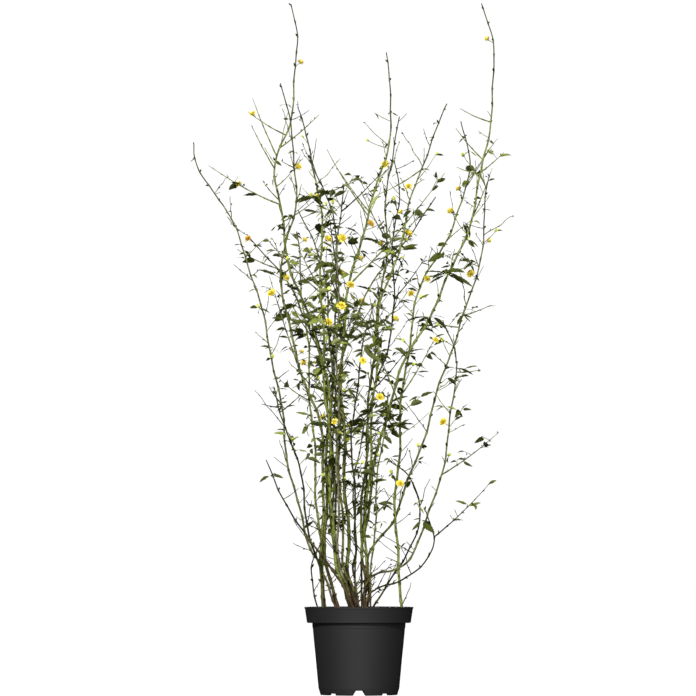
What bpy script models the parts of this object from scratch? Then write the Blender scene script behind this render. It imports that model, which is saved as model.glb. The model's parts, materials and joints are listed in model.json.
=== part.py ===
"""A potted double Japanese kerria: pot, soil, canes, and the masses of twigs, leaves and blossom on them.

Metres, +Z up, with the front facing -Y. The plant is built round the pot's axis, with the pot's foot at
height 0, and at the end everything is moved so that the origin is under the middle of the whole part.
"""
import math
import random
from collections import namedtuple

import bmesh
import bpy
from mathutils import Matrix, Vector
from mathutils.bvhtree import BVHTree

# Pot, a 7.5 litre nursery container
POT_HEIGHT = 0.209
RIM_DIAMETER = 0.260
RIM_BAND = 0.038
RIM_BAND_FOOT_DIAMETER = 0.248
BODY_TOP_DIAMETER = 0.2226
BODY_FOOT_DIAMETER = 0.193
FOOT_DIAMETER = 0.186
FOOT_HEIGHT = 0.017
WALL = 0.0025
LIP_HEIGHT = 0.003
LIP_REACH = 0.0006
LIP_BEVEL = 0.0008
BAND_UNDERCUT = 0.004
FOOT_RING_WIDTH = 0.012
BASE_HEIGHT = 0.0125
BASE_THICKNESS = 0.003
NOTCH_OVERCUT = 0.003
POT_SIDES = 40

# Soil
SOIL_TOP = 0.1887
SOIL_CLEAR = 0.0005
SOIL_LEDGE = (0.0052, 0.0062)
SOIL_SPREAD = 0.0012
GAP = 0.0003

# Canes and twigs
CANE_SIDES = 5
STEM_SIDES = 4
TWIG_SIDES = 3
CURVE_POINTS = 12
CANE_STEP = 0.040
STEM_STEP = 0.050
TIP_GIRTH = 0.0026
FLARE = 0.35
FLARE_HEIGHT = 0.030
TAPER = 0.85
DEPTH_POWER = 1.25
SWAY = 0.013
SWAYS = 1.6
WAVE = 0.0035
WAVE_LENGTH = 0.24
SHOOT_POINTS = 8
SHOOT_STEP = 0.060
SHOOT_GIRTH = 0.0030
SHOOT_GIRTH_GAIN = 1.2
SHOOT_SAG = 0.07
TWIG_TIP_GIRTH = 0.0018

# Leaves and blossom
GOLDEN_ANGLE = math.radians(137.5)
SPURS_PER_METRE = 6.4
SPUR_LENGTH = (0.035, 0.085)
SPUR_RISE = (0.35, 1.05)
SPUR_GIRTH = 0.0024
SPUR_START = 0.020
SPUR_JITTER = 0.4
NEAR_TIP = 0.98
LEAF_LENGTH = (0.044, 0.062)
LEAF_WIDTH = 0.40
LEAF_THICKNESS = 0.040
LEAF_ROOT = 0.0008
LEAF_WAIST = 0.42
LEAF_DROOP = 0.10
LEAF_FORWARD = (0.55, 0.85)
LEAF_OUTWARD = 0.8
LEAF_HANG = (-0.10, 0.75)
LEAF_TWIST = math.radians(65)
LEAVES_PER_SPUR = (0.45, 0.75, 1.0)
SHOOT_LEAF_SPACING = 0.060
LEAFY_FROM = 0.30
LEAFY_FULL = (0.52, 1.06)
LEAFY_UNTIL = 1.30
BLOOM_DIAMETER = 0.026
BLOOM_FLATNESS = 0.72
BLOOM_STALK = 0.014
STALK_RISE = 0.6
BLOOM_LEAN = 0.05
CLEARANCE = 0.0012

# Looks
POT_COLOUR = (0.032, 0.033, 0.035)
POT_ROUGHNESS = 0.55
SOIL_COLOUR = (0.055, 0.038, 0.026)
SOIL_ROUGHNESS = 0.95
BARK_COLOUR = (0.13, 0.155, 0.055)
FOLIAGE_COLOUR = (0.065, 0.095, 0.024)
PLANT_ROUGHNESS = 0.6

# A drain notch of the foot ring: its widths at the ground and at its top, outside and inside the ring, and
# its height
Notch = namedtuple("Notch", "outer_foot outer_top inner_foot inner_top height")
WIDE_NOTCH = Notch(0.038, 0.022, 0.030, 0.014, 0.0120)
NARROW_NOTCH = Notch(0.030, 0.027, 0.028, 0.024, 0.0045)
NOTCHES = (WIDE_NOTCH, NARROW_NOTCH) * 4

Cane = namedtuple("Cane", "name foot tip_depth girth fork leafy bends shoots blooms")
Shoot = namedtuple("Shoot", "at reach bloom")


def shoot(at, reach, bloom=None):
    """A side shoot: height of its root on the cane, its reach from there, and its bloom's share along it."""
    return Shoot(at, Vector(reach), bloom)


# Each cane: foot (x, y) on the soil, depth y of its tip, girth at the foot, height where its twigs begin,
# leafiness, bends (x, z) from the foot to the tip, side shoots, and blooms (height, turn about the cane)
CANES = (
    Cane("far_left", (-0.016, 0.020), 0.045, 0.0054, 0.66, 0.35,
         ((-0.020, 0.225), (-0.036, 0.272), (-0.070, 0.306), (-0.115, 0.350), (-0.160, 0.510),
          (-0.190, 0.705), (-0.215, 0.840), (-0.285, 1.090), (-0.385, 1.265), (-0.400, 1.325)),
         (shoot(0.690, (-0.030, -0.040, 0.045)),), ()),
    Cane("left_tall", (-0.045, 0.030), 0.170, 0.0078, 0.74, 0.45,
         ((-0.080, 0.340), (-0.075, 0.585), (-0.080, 0.780), (-0.160, 1.010), (-0.190, 1.165),
          (-0.200, 1.280), (-0.165, 1.400), (-0.150, 1.565), (-0.167, 1.676)),
         (shoot(1.140, (0.075, -0.040, 0.045), 1.0), shoot(1.180, (-0.175, 0.040, 0.100), 0.48),
          shoot(1.190, (-0.040, -0.030, 0.045)), shoot(1.225, (0.040, 0.030, 0.040), 1.0),
          shoot(1.270, (-0.055, -0.040, 0.100)), shoot(1.300, (-0.060, 0.050, 0.145)),
          shoot(1.320, (0.095, -0.050, 0.075)), shoot(1.350, (-0.090, -0.020, 0.055), 0.75)),
         ((1.520, 10),)),
    Cane("left_second", (-0.085, -0.012), -0.140, 0.0072, 0.62, 0.45,
         ((-0.090, 0.370), (-0.085, 0.595), (-0.135, 0.765), (-0.180, 0.935), (-0.175, 1.070),
          (-0.147, 1.195), (-0.168, 1.370), (-0.185, 1.450)),
         (shoot(0.735, (-0.085, -0.040, 0.260), 0.80), shoot(1.170, (0.160, -0.050, 0.055)),
          shoot(1.250, (-0.030, -0.030, 0.015)), shoot(1.255, (0.015, 0.030, 0.030))),
         ((0.805, 20), (0.980, 10))),
    Cane("left_third", (-0.012, -0.048), -0.220, 0.0082, 0.58, 1.0,
         ((-0.030, 0.250), (-0.052, 0.305), (-0.062, 0.370), (-0.070, 0.580), (-0.085, 0.830),
          (-0.090, 1.050), (-0.095, 1.190), (-0.145, 1.380)),
         (shoot(0.960, (-0.050, -0.055, 0.090)),),
         ((0.645, 160), (0.870, 320), (1.065, 350))),
    Cane("left_inner", (-0.078, 0.012), -0.030, 0.0060, 0.55, 0.9,
         ((-0.086, 0.280), (-0.095, 0.390), (-0.110, 0.620), (-0.125, 0.855), (-0.150, 1.105)),
         (shoot(0.700, (-0.065, -0.030, 0.045)),),
         ((0.780, 200), (1.075, 0))),
    Cane("left_leaning", (-0.016, 0.036), 0.190, 0.0056, 0.60, 0.5,
         ((-0.040, 0.275), (-0.065, 0.415), (-0.070, 0.660), (-0.095, 0.815), (-0.165, 0.980),
          (-0.270, 1.115)),
         (shoot(1.030, (-0.100, 0.030, 0.050)), shoot(0.860, (-0.050, 0.070, 0.080))),
         ((1.095, 200),)),
    Cane("inner_left", (-0.018, 0.059), 0.290, 0.0056, 0.56, 0.8,
         ((-0.036, 0.262), (-0.052, 0.310), (-0.060, 0.385), (-0.065, 0.580), (-0.070, 0.880),
          (-0.100, 1.080), (-0.150, 1.180)),
         (shoot(0.960, (-0.150, 0.060, 0.150)), shoot(0.760, (-0.040, 0.110, 0.110))),
         ((1.000, 80),)),
    Cane("centre_back", (-0.014, 0.080), 0.330, 0.0060, 0.52, 1.0,
         ((-0.024, 0.255), (-0.048, 0.310), (-0.055, 0.375), (-0.060, 0.560), (-0.058, 0.935),
          (-0.055, 1.125), (-0.120, 1.325)),
         (shoot(0.820, (0.060, 0.110, 0.130), 1.0), shoot(1.040, (-0.020, 0.100, 0.150))),
         ((0.700, 100), (1.015, 40))),
    Cane("centre_front", (-0.010, -0.063), -0.300, 0.0062, 0.50, 1.0,
         ((-0.026, 0.248), (-0.042, 0.300), (-0.050, 0.380), (-0.050, 0.605), (-0.050, 0.995),
          (-0.040, 1.190)),
         (shoot(1.130, (0.095, -0.040, 0.090)), shoot(0.780, (-0.030, -0.110, 0.120))),
         ((0.635, 230), (0.905, 300), (1.060, 330))),
    Cane("diagonal", (-0.002, -0.034), -0.110, 0.0060, 0.60, 0.6,
         ((-0.012, 0.250), (-0.034, 0.305), (-0.040, 0.390), (-0.045, 0.745), (0.005, 0.925), (0.090, 1.050),
          (0.185, 1.180)),
         (shoot(0.850, (0.050, -0.090, 0.060)),), ()),
    Cane("centre_tall", (-0.004, 0.004), 0.080, 0.0088, 0.62, 0.8,
         ((-0.014, 0.245), (-0.027, 0.300), (-0.027, 0.400), (-0.035, 0.570), (-0.040, 0.840),
          (-0.010, 1.035), (0.035, 1.190), (0.070, 1.325), (0.080, 1.450), (0.063, 1.550)),
         (shoot(0.980, (0.230, -0.060, 0.265)), shoot(1.150, (-0.100, -0.050, 0.155)),
          shoot(1.160, (-0.070, 0.040, 0.100))),
         ((0.970, 300), (1.035, 20), (1.120, 340))),
    Cane("centre_hooked", (0.005, 0.050), 0.230, 0.0062, 0.50, 0.6,
         ((0.016, 0.270), (0.004, 0.335), (0.010, 0.465), (0.035, 0.815), (0.065, 1.060), (0.070, 1.235),
          (0.088, 1.345), (0.103, 1.405)),
         (shoot(0.880, (0.080, 0.090, 0.100)), shoot(1.100, (-0.060, 0.080, 0.120))),
         ((0.995, 10), (1.080, 160), (1.275, 200))),
    Cane("right_leaning", (0.006, -0.016), -0.190, 0.0064, 0.46, 0.6,
         ((0.020, 0.270), (0.014, 0.340), (0.020, 0.465), (0.043, 0.815), (0.055, 0.940), (0.105, 1.085),
          (0.135, 1.215), (0.210, 1.395)),
         (shoot(1.240, (-0.100, -0.030, -0.060)), shoot(0.840, (-0.020, -0.110, 0.100))),
         ((1.080, 0), (1.130, 190), (1.190, 220))),
    Cane("grey_thin", (0.010, 0.078), 0.320, 0.0050, 0.46, 0.5,
         ((0.004, 0.290), (0.014, 0.400), (0.015, 0.515), (0.035, 0.735), (0.080, 0.860), (0.085, 1.075),
          (0.098, 1.220), (0.090, 1.310)),
         (shoot(0.740, (0.090, 0.070, 0.110)), shoot(0.960, (0.080, 0.050, 0.110))), ((0.900, 60),)),
    Cane("inner_right", (0.003, -0.050), -0.270, 0.0050, 0.45, 1.0,
         ((-0.014, 0.290), (-0.004, 0.345), (-0.010, 0.415), (-0.015, 0.625), (0.000, 0.765), (0.035, 0.925)),
         (shoot(0.620, (0.060, -0.060, 0.070), 1.0), shoot(0.560, (-0.070, -0.080, 0.080))),
         ((0.775, 300),)),
    Cane("right_tall", (0.017, 0.003), -0.070, 0.0070, 0.56, 0.40,
         ((0.024, 0.258), (0.010, 0.320), (0.012, 0.380), (0.045, 0.580), (0.100, 0.770), (0.190, 0.945),
          (0.260, 1.110), (0.300, 1.285), (0.325, 1.505), (0.293, 1.650)),
         (shoot(1.135, (0.050, 0.050, 0.125)), shoot(1.240, (-0.055, 0.020, 0.020)),
          shoot(1.245, (0.055, -0.030, 0.045)), shoot(1.275, (-0.065, 0.040, 0.080)),
          shoot(1.365, (-0.075, -0.030, 0.030))),
         ((1.555, 170),)),
    Cane("far_right", (0.010, 0.025), 0.090, 0.0058, 0.60, 0.45,
         ((0.014, 0.246), (0.024, 0.292), (0.028, 0.345), (0.080, 0.414), (0.105, 0.470), (0.160, 0.630),
          (0.240, 0.880), (0.285, 1.005), (0.315, 1.250)),
         (shoot(0.880, (-0.070, 0.050, 0.020)), shoot(0.910, (0.066, -0.020, 0.022))),
         ((1.000, 200), (1.080, 0))),
    Cane("right_low", (0.016, -0.033), 0.020, 0.0054, 0.48, 0.55,
         ((0.015, 0.240), (0.024, 0.272), (0.050, 0.290), (0.085, 0.298), (0.122, 0.330), (0.170, 0.435),
          (0.215, 0.620), (0.230, 0.805), (0.205, 0.895)),
         (shoot(0.525, (0.135, -0.030, 0.100)), shoot(0.770, (0.055, 0.030, 0.005))),
         ((0.640, 190),)),
    Cane("right_green", (0.105, 0.004), 0.060, 0.0064, 0.48, 0.55,
         ((0.090, 0.345), (0.090, 0.490), (0.105, 0.715), (0.120, 0.835), (0.155, 0.995),
          (0.230, 1.125), (0.265, 1.270), (0.250, 1.380)),
         (shoot(0.690, (-0.065, 0.030, 0.170)), shoot(0.715, (0.080, -0.030, 0.135), 0.9),
          shoot(1.000, (0.125, -0.050, 0.030))),
         ((0.950, 200), (0.985, 340), (1.150, 190), (1.205, 180))),
    Cane("left_dark", (-0.045, -0.028), -0.090, 0.0056, None, 0.3,
         ((-0.074, 0.257), (-0.110, 0.350), (-0.145, 0.545), (-0.205, 0.730)),
         (shoot(0.670, (0.050, -0.030, 0.040)), shoot(0.680, (-0.040, 0.020, 0.010)),
          shoot(0.560, (-0.020, -0.060, 0.060))), ()),
    Cane("left_arch", (-0.002, -0.077), -0.190, 0.0056, None, 0.2,
         ((-0.085, 0.330), (-0.175, 0.450), (-0.215, 0.555)), (), ()),
    Cane("low_right", (0.017, -0.056), -0.060, 0.0044, None, 0.5,
         ((0.019, 0.236), (0.052, 0.257), (0.105, 0.273), (0.154, 0.311), (0.175, 0.365), (0.155, 0.445)),
         (shoot(0.375, (0.135, -0.020, 0.130)),), ()),
    Cane("low_arch", (0.020, 0.050), 0.160, 0.0046, None, 0.5,
         ((0.066, 0.257), (0.112, 0.325), (0.145, 0.425), (0.130, 0.515), (0.070, 0.565)), (), ()),
    Cane("short_right", (0.026, -0.076), -0.180, 0.0044, None, 1.0,
         ((0.040, 0.460), (0.070, 0.715)),
         (shoot(0.430, (0.050, -0.040, 0.060), 1.0),), ()),
    Cane("short_mid", (-0.005, 0.098), 0.170, 0.0044, None, 1.0,
         ((-0.010, 0.490), (0.010, 0.650)), (shoot(0.420, (-0.050, 0.060, 0.080)),), ()),
    Cane("loop_stem", (-0.090, -0.046), -0.066, 0.0038, None, 0.0,
         ((-0.115, 0.300), (-0.092, 0.365)), (), ()),
)


def clear_scene():
    for obj in list(bpy.data.objects):
        bpy.data.objects.remove(obj, do_unlink=True)


def material(name, colour, roughness):
    made = bpy.data.materials.new(name)
    made.use_nodes = True
    shader = made.node_tree.nodes["Principled BSDF"]
    shader.inputs["Base Color"].default_value = (*colour, 1.0)
    shader.inputs["Roughness"].default_value = roughness
    shader.inputs["Metallic"].default_value = 0.0
    made.diffuse_color = (*colour, 1.0)
    return made


def object_from(name, verts, faces, colour, roughness, smooth=True):
    mesh = bpy.data.meshes.new(name)
    mesh.from_pydata([tuple(v) for v in verts], [], faces)
    for face in mesh.polygons:
        face.use_smooth = smooth
    mesh.materials.append(material(name, colour, roughness))
    made = bpy.data.objects.new(name, mesh)
    bpy.context.scene.collection.objects.link(made)
    return made


def evaluated_mesh(obj):
    return bpy.data.meshes.new_from_object(obj.evaluated_get(bpy.context.evaluated_depsgraph_get()))


def apply_modifiers(obj):
    made = evaluated_mesh(obj)
    obj.modifiers.clear()
    obj.data = made


# Turned pieces
def revolve(profile, sides):
    """Closed solid of revolution: the profile (radius, height) starts and ends on the axis."""
    verts = [Vector((0, 0, profile[0][1])), Vector((0, 0, profile[-1][1]))]
    rings = profile[1:-1]
    for radius, height in rings:
        for k in range(sides):
            turn = 2 * math.pi * (k + 0.5) / sides
            verts.append(Vector((radius * math.cos(turn), radius * math.sin(turn), height)))
    faces = []
    for k in range(sides):
        after = (k + 1) % sides
        faces.append((0, 2 + after, 2 + k))
        faces.append((1, 2 + (len(rings) - 1) * sides + k, 2 + (len(rings) - 1) * sides + after))
        for ring in range(len(rings) - 1):
            low = 2 + ring * sides
            high = low + sides
            faces.append((low + k, low + after, high + after, high + k))
    return verts, faces


def notch_cutter(notch, turn):
    """A wedge that opens one drain notch in the foot ring, with its cheeks slanting inward."""
    out = Vector((math.cos(turn), math.sin(turn), 0))
    side = Vector((-math.sin(turn), math.cos(turn), 0))
    inner = FOOT_DIAMETER / 2 - FOOT_RING_WIDTH
    outer = FOOT_DIAMETER / 2
    outer_top = outer + (BODY_FOOT_DIAMETER - FOOT_DIAMETER) / 2 * notch.height / FOOT_HEIGHT
    edges = ((0.0, inner, notch.inner_foot, outer, notch.outer_foot),
             (notch.height, inner, notch.inner_top, outer_top, notch.outer_top))
    verts = []
    for past in (-NOTCH_OVERCUT, NOTCH_OVERCUT):
        for height, near, near_width, far, far_width in edges:
            reach = (near if past < 0 else far) + past
            width = near_width + (far_width - near_width) * (reach - near) / (far - near)
            for across in (-width / 2, width / 2):
                verts.append(out * reach + side * across + Vector((0, 0, height)))
    low = Vector((0, 0, -NOTCH_OVERCUT))
    verts += [verts[0] + low, verts[1] + low, verts[4] + low, verts[5] + low]
    faces = [(0, 1, 9, 8), (2, 3, 1, 0), (10, 11, 5, 4), (4, 5, 7, 6), (6, 7, 3, 2), (11, 10, 8, 9),
             (4, 6, 2, 0), (10, 4, 0, 8), (7, 5, 1, 3), (5, 11, 9, 1)]
    return verts, faces


def build_pot():
    rim = RIM_DIAMETER / 2
    band_foot = RIM_BAND_FOOT_DIAMETER / 2
    body_top = BODY_TOP_DIAMETER / 2
    body_foot = BODY_FOOT_DIAMETER / 2
    foot = FOOT_DIAMETER / 2
    ring = foot - FOOT_RING_WIDTH
    band_z = POT_HEIGHT - RIM_BAND
    lip_z = POT_HEIGHT - LIP_HEIGHT
    floor_z = BASE_HEIGHT + BASE_THICKNESS
    profile = (
        (0, BASE_HEIGHT), (ring, BASE_HEIGHT), (ring, 0), (foot, 0), (body_foot, FOOT_HEIGHT),
        (body_top, band_z + BAND_UNDERCUT), (band_foot, band_z), (rim - LIP_REACH, lip_z - LIP_BEVEL),
        (rim, lip_z), (rim, POT_HEIGHT - LIP_BEVEL), (rim - LIP_BEVEL, POT_HEIGHT),
        (rim - WALL, POT_HEIGHT), (band_foot - WALL, band_z + WALL + BAND_UNDERCUT / 2),
        (body_top - WALL, band_z + WALL + BAND_UNDERCUT), (body_foot - WALL, floor_z), (0, floor_z))
    verts, faces = revolve(profile, POT_SIDES)
    pot = object_from("pot", verts, faces, POT_COLOUR, POT_ROUGHNESS, smooth=False)
    cutters = bpy.data.collections.new("notches")
    for k, notch in enumerate(NOTCHES):
        turn = 2 * math.pi * k / len(NOTCHES) - math.pi / 2
        cutter = object_from("notch", *notch_cutter(notch, turn), POT_COLOUR, POT_ROUGHNESS, smooth=False)
        bpy.context.scene.collection.objects.unlink(cutter)
        cutters.objects.link(cutter)
    cut_or_join(pot, cutters, "DIFFERENCE", "EXACT")
    return pot


def build_soil():
    """The root ball's soil, which fills the pot to a gap's width from its wall and floor."""
    floor_z = BASE_HEIGHT + BASE_THICKNESS + GAP
    body_height = POT_HEIGHT - RIM_BAND + BAND_UNDERCUT - FOOT_HEIGHT
    slope = (BODY_TOP_DIAMETER - BODY_FOOT_DIAMETER) / 2 / body_height
    foot = BODY_FOOT_DIAMETER / 2 - WALL - 2 * GAP
    neck_z = POT_HEIGHT - RIM_BAND + WALL
    neck = foot + slope * (neck_z - floor_z) - SOIL_CLEAR
    brim = RIM_BAND_FOOT_DIAMETER / 2 - WALL - 3 * SOIL_CLEAR
    profile = ((0, floor_z), (foot, floor_z), (neck, neck_z), (neck, neck_z + SOIL_LEDGE[0]),
               (brim, neck_z + SOIL_LEDGE[1]), (brim + SOIL_SPREAD, SOIL_TOP), (0, SOIL_TOP))
    verts, faces = revolve(profile, POT_SIDES)
    return object_from("soil", verts, faces, SOIL_COLOUR, SOIL_ROUGHNESS, smooth=False)


# Paths
def smooth_curve(places):
    """Closely spaced points on a smooth curve through the places."""
    ends = [2 * places[0] - places[1], *places, 2 * places[-1] - places[-2]]
    fine = []
    for i in range(len(places) - 1):
        a, b, c, d = ends[i:i + 4]
        for k in range(CURVE_POINTS):
            f = k / CURVE_POINTS
            fine.append(0.5 * (2 * b + (c - a) * f + (2 * a - 5 * b + 4 * c - d) * f * f
                               + (3 * b - a - 3 * c + d) * f ** 3))
    fine.append(places[-1])
    return fine


class Path:
    """A curve in space that is read by its length."""

    def __init__(self, points, ends=None):
        self.points = points
        self.ends = ends
        self.marks = [0.0]
        for a, b in zip(points, points[1:]):
            self.marks.append(self.marks[-1] + (b - a).length)
        self.length = self.marks[-1]

    def at(self, distance):
        distance = min(max(distance, 0.0), self.length)
        for i in range(len(self.points) - 1):
            if distance <= self.marks[i + 1] or i == len(self.points) - 2:
                span = self.marks[i + 1] - self.marks[i]
                share = (distance - self.marks[i]) / span
                return self.points[i].lerp(self.points[i + 1], share)

    def along(self, distance):
        reach = 0.004
        return (self.at(distance + reach) - self.at(distance - reach)).normalized()

    def stretch(self, start, end, step):
        """A stretch of the path as a new one of even steps, so that what roots on it meets its tube."""
        count = max(1, round((end - start) / step))
        points = [self.at(start + (end - start) * k / count) for k in range(count + 1)]
        return Path(points, (self.along(start), self.along(end)))

    def facings(self):
        """The direction of the path at each point; its ends face as on the curve that it came from."""
        found = [self.along(mark) for mark in self.marks]
        if self.ends:
            found[0], found[-1] = self.ends
        return found

    def distance_at_height(self, height):
        for i, (a, b) in enumerate(zip(self.points, self.points[1:])):
            if a.z <= height <= b.z:
                return self.marks[i] + (b - a).length * (height - a.z) / max(b.z - a.z, 1e-9)
        return self.length


def cane_path(cane):
    flat = [Vector((cane.foot[0], 0, SOIL_TOP + GAP))]
    flat += [Vector((x, 0, z)) for x, z in cane.bends]
    curve = Path(smooth_curve(flat))
    phase = CANES.index(cane) * GOLDEN_ANGLE
    points = []
    for point, mark in zip(curve.points, curve.marks):
        share = mark / curve.length
        sway = SWAY * (math.sin(2 * math.pi * SWAYS * share + phase) - math.sin(phase)) * min(1.0, 2 * share)
        depth = cane.foot[1] + (cane.tip_depth - cane.foot[1]) * share ** DEPTH_POWER + sway
        wave = WAVE * math.sin(2 * math.pi * mark / WAVE_LENGTH + 3 * phase) * min(1.0, 8 * share)
        points.append(Vector((point.x + wave, depth, point.z)))
    return Path(points)


def cane_radius(cane, length, distance):
    """Radius of a cane at a distance from its foot, with the flare of its root."""
    share = max(0.0, 1 - distance / length)
    plain = (TIP_GIRTH + (cane.girth - TIP_GIRTH) * share ** TAPER) / 2
    if distance < FLARE_HEIGHT:
        return plain * (1 + FLARE * (1 - distance / FLARE_HEIGHT) ** 2)
    return plain


def shoot_path(root, reach):
    """A shoot that leaves its limb low and turns up toward its tip."""
    middle = root + reach * 0.5 - Vector((0, 0, SHOOT_SAG * reach.length))
    tip = root + reach
    points = []
    for k in range(SHOOT_POINTS + 1):
        f = k / SHOOT_POINTS
        points.append(root * (1 - f) ** 2 + middle * 2 * f * (1 - f) + tip * f * f)
    smooth = Path(points)
    return smooth.stretch(0.0, smooth.length, SHOOT_STEP)


def tube(path, radius_at, sides, level_foot=False):
    """Closed tapering tube with a ring at each point of a path; radius_at gives its radius at a distance."""
    facings = path.facings()
    if level_foot:
        facings[0] = Vector((0, 0, 1))
    across = facings[0].orthogonal().normalized()
    verts = []
    for centre, distance, along in zip(path.points, path.marks, facings):
        across = (across - along * across.dot(along)).normalized()
        other = along.cross(across)
        radius = radius_at(distance)
        for k in range(sides):
            turn = 2 * math.pi * k / sides
            verts.append(centre + (across * math.cos(turn) + other * math.sin(turn)) * radius)
    faces = [tuple(reversed(range(sides))), tuple(len(verts) - sides + k for k in range(sides))]
    for ring in range(len(path.points) - 1):
        for k in range(sides):
            low = ring * sides
            after = (k + 1) % sides
            faces.append((low + k, low + after, low + sides + after, low + sides + k))
    return verts, faces


# Leaves and blossom
def leaf(root, along, up, length):
    """An eight-faced blade: a root, a tip, two edges, and a ridge above and below."""
    along = along.normalized()
    side = along.cross(up).normalized()
    face = side.cross(along).normalized()
    start = root - along * LEAF_ROOT
    waist = start + along * length * LEAF_WAIST
    half = length * LEAF_WIDTH / 2
    thick = length * LEAF_THICKNESS / 2
    verts = [start, start + along * length - face * length * LEAF_DROOP, waist + side * half,
             waist - side * half, waist + face * thick, waist - face * thick]
    faces = [(0, 2, 4), (0, 4, 3), (0, 3, 5), (0, 5, 2), (1, 4, 2), (1, 3, 4), (1, 5, 3), (1, 2, 5)]
    return verts, faces


def bloom(centre, facing):
    """A double bloom as a flattened ball of twenty faces."""
    shape = bmesh.new()
    bmesh.ops.create_icosphere(shape, subdivisions=1, radius=BLOOM_DIAMETER / 2)
    turn = Vector((0, 0, 1)).rotation_difference(facing.normalized()).to_matrix()
    verts = [centre + turn @ Vector((v.co.x, v.co.y, v.co.z * BLOOM_FLATNESS)) for v in shape.verts]
    faces = [tuple(v.index for v in face.verts) for face in shape.faces]
    shape.free()
    return verts, faces


def leafiness(height):
    """Share of leaves that the shrub carries at a height: bare below, thin at the top."""
    if height < LEAFY_FROM or height > LEAFY_UNTIL:
        return 0.0
    if height < LEAFY_FULL[0]:
        return (height - LEAFY_FROM) / (LEAFY_FULL[0] - LEAFY_FROM)
    if height > LEAFY_FULL[1]:
        return (LEAFY_UNTIL - height) / (LEAFY_UNTIL - LEAFY_FULL[1])
    return 1.0


def direction(turn, rise):
    return Vector((math.cos(turn) * math.cos(rise), math.sin(turn) * math.cos(rise), math.sin(rise)))


def twig(path, girth):
    def radius_at(distance):
        return (girth + (TWIG_TIP_GIRTH - girth) * distance / path.length) / 2
    return tube(path, radius_at, TWIG_SIDES)


def leaf_on(path, distance, side, draw):
    """A leaf that leaves a twig to one side and hangs a little, turned about its own length."""
    along = path.along(distance)
    level = Vector((-along.y, along.x, 0)).normalized() * side
    hang = LEAF_HANG[0] + (LEAF_HANG[1] - LEAF_HANG[0]) * draw[1]
    forward = LEAF_FORWARD[0] + (LEAF_FORWARD[1] - LEAF_FORWARD[0]) * draw[0]
    heading = along * forward + level * LEAF_OUTWARD - Vector((0, 0, hang))
    length = LEAF_LENGTH[0] + (LEAF_LENGTH[1] - LEAF_LENGTH[0]) * draw[2]
    twist = LEAF_TWIST * (2 * draw[0] - 1)
    up = Vector((0, 0, math.cos(twist))) + heading.cross(Vector((0, 0, 1))).normalized() * math.sin(twist)
    return leaf(path.at(distance), heading, up, length)


def bloom_on(path, distance, turn):
    """A bloom on a short stalk."""
    root = path.at(distance)
    heading = direction(turn, STALK_RISE)
    stalk = Path([root, root + heading * BLOOM_STALK])
    return [twig(stalk, SPUR_GIRTH), bloom(root + heading * BLOOM_STALK, heading)]


def shoot_growth(cane, path):
    """Groups of solids for the stated side shoots, each a twig followed by what it carries."""
    draws = random.Random("shoots " + cane.name)
    for stated in cane.shoots:
        root = path.at(path.distance_at_height(stated.at))
        own = shoot_path(root, stated.reach)
        girth = SHOOT_GIRTH * (1 + SHOOT_GIRTH_GAIN * stated.reach.length)
        carried = []
        side = 1
        for k in range(1, int(own.length / SHOOT_LEAF_SPACING) + 1):
            draw = (draws.random(), draws.random(), draws.random(), draws.random())
            distance = min(k * SHOOT_LEAF_SPACING, own.length * NEAR_TIP)
            if draw[3] < leafiness(own.at(distance).z):
                carried.append([leaf_on(own, distance, side, draw)])
            side = -side
        if stated.bloom:
            turn = math.atan2(stated.reach.y - BLOOM_LEAN, stated.reach.x)
            carried.append(bloom_on(own, own.length * stated.bloom, turn))
        yield twig(own, girth), carried


def spur_growth(cane, path):
    """Groups of solids for the short leafy spurs, placed round the stem by a seeded rule."""
    draws = random.Random("spurs " + cane.name)
    count = round(path.length * SPURS_PER_METRE * cane.leafy)
    spacing = (path.length - SPUR_START) / max(count, 1)
    for k in range(count):
        distance = SPUR_START + spacing * (k + 0.5 + SPUR_JITTER * (draws.random() - 0.5))
        turn = k * GOLDEN_ANGLE + draws.random()
        length = SPUR_LENGTH[0] + (SPUR_LENGTH[1] - SPUR_LENGTH[0]) * draws.random()
        rise = SPUR_RISE[0] + (SPUR_RISE[1] - SPUR_RISE[0]) * draws.random()
        kept = draws.random()
        leaf_draws = [(draws.random(), draws.random(), draws.random()) for _ in LEAVES_PER_SPUR]
        root = path.at(distance)
        if kept > leafiness(root.z):
            continue
        own = shoot_path(root, direction(turn, rise) * length)
        carried = []
        for index, (share, draw) in enumerate(zip(LEAVES_PER_SPUR, leaf_draws)):
            side = 1 if index % 2 else -1
            carried.append([leaf_on(own, own.length * share * NEAR_TIP, side, draw)])
        yield twig(own, SPUR_GIRTH), carried


def bloom_growth(cane, path):
    """Blooms that sit right on the stem, on short stalks."""
    for height, turn in cane.blooms:
        stalk, flower = bloom_on(path, path.distance_at_height(height), math.radians(turn))
        yield stalk, [[flower]]


# Keeping pieces apart
def tree_of(solid):
    verts, faces = solid
    return BVHTree.FromPolygons([tuple(v) for v in verts], faces)


def tree_of_object(obj):
    verts = [tuple(v.co) for v in obj.data.vertices]
    return BVHTree.FromPolygons(verts, [tuple(face.vertices) for face in obj.data.polygons])


def touches(solid, tree, limbs):
    """Whether a solid meets or comes close to any of the limbs."""
    verts, faces = solid
    for limb in limbs:
        if tree.overlap(limb):
            return True
        for face in faces:
            middle = sum((verts[i] for i in face), Vector()) / len(face)
            if limb.find_nearest(middle, CLEARANCE)[0] is not None:
                return True
        if any(limb.find_nearest(v, CLEARANCE)[0] is not None for v in verts):
            return True
    return False


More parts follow.
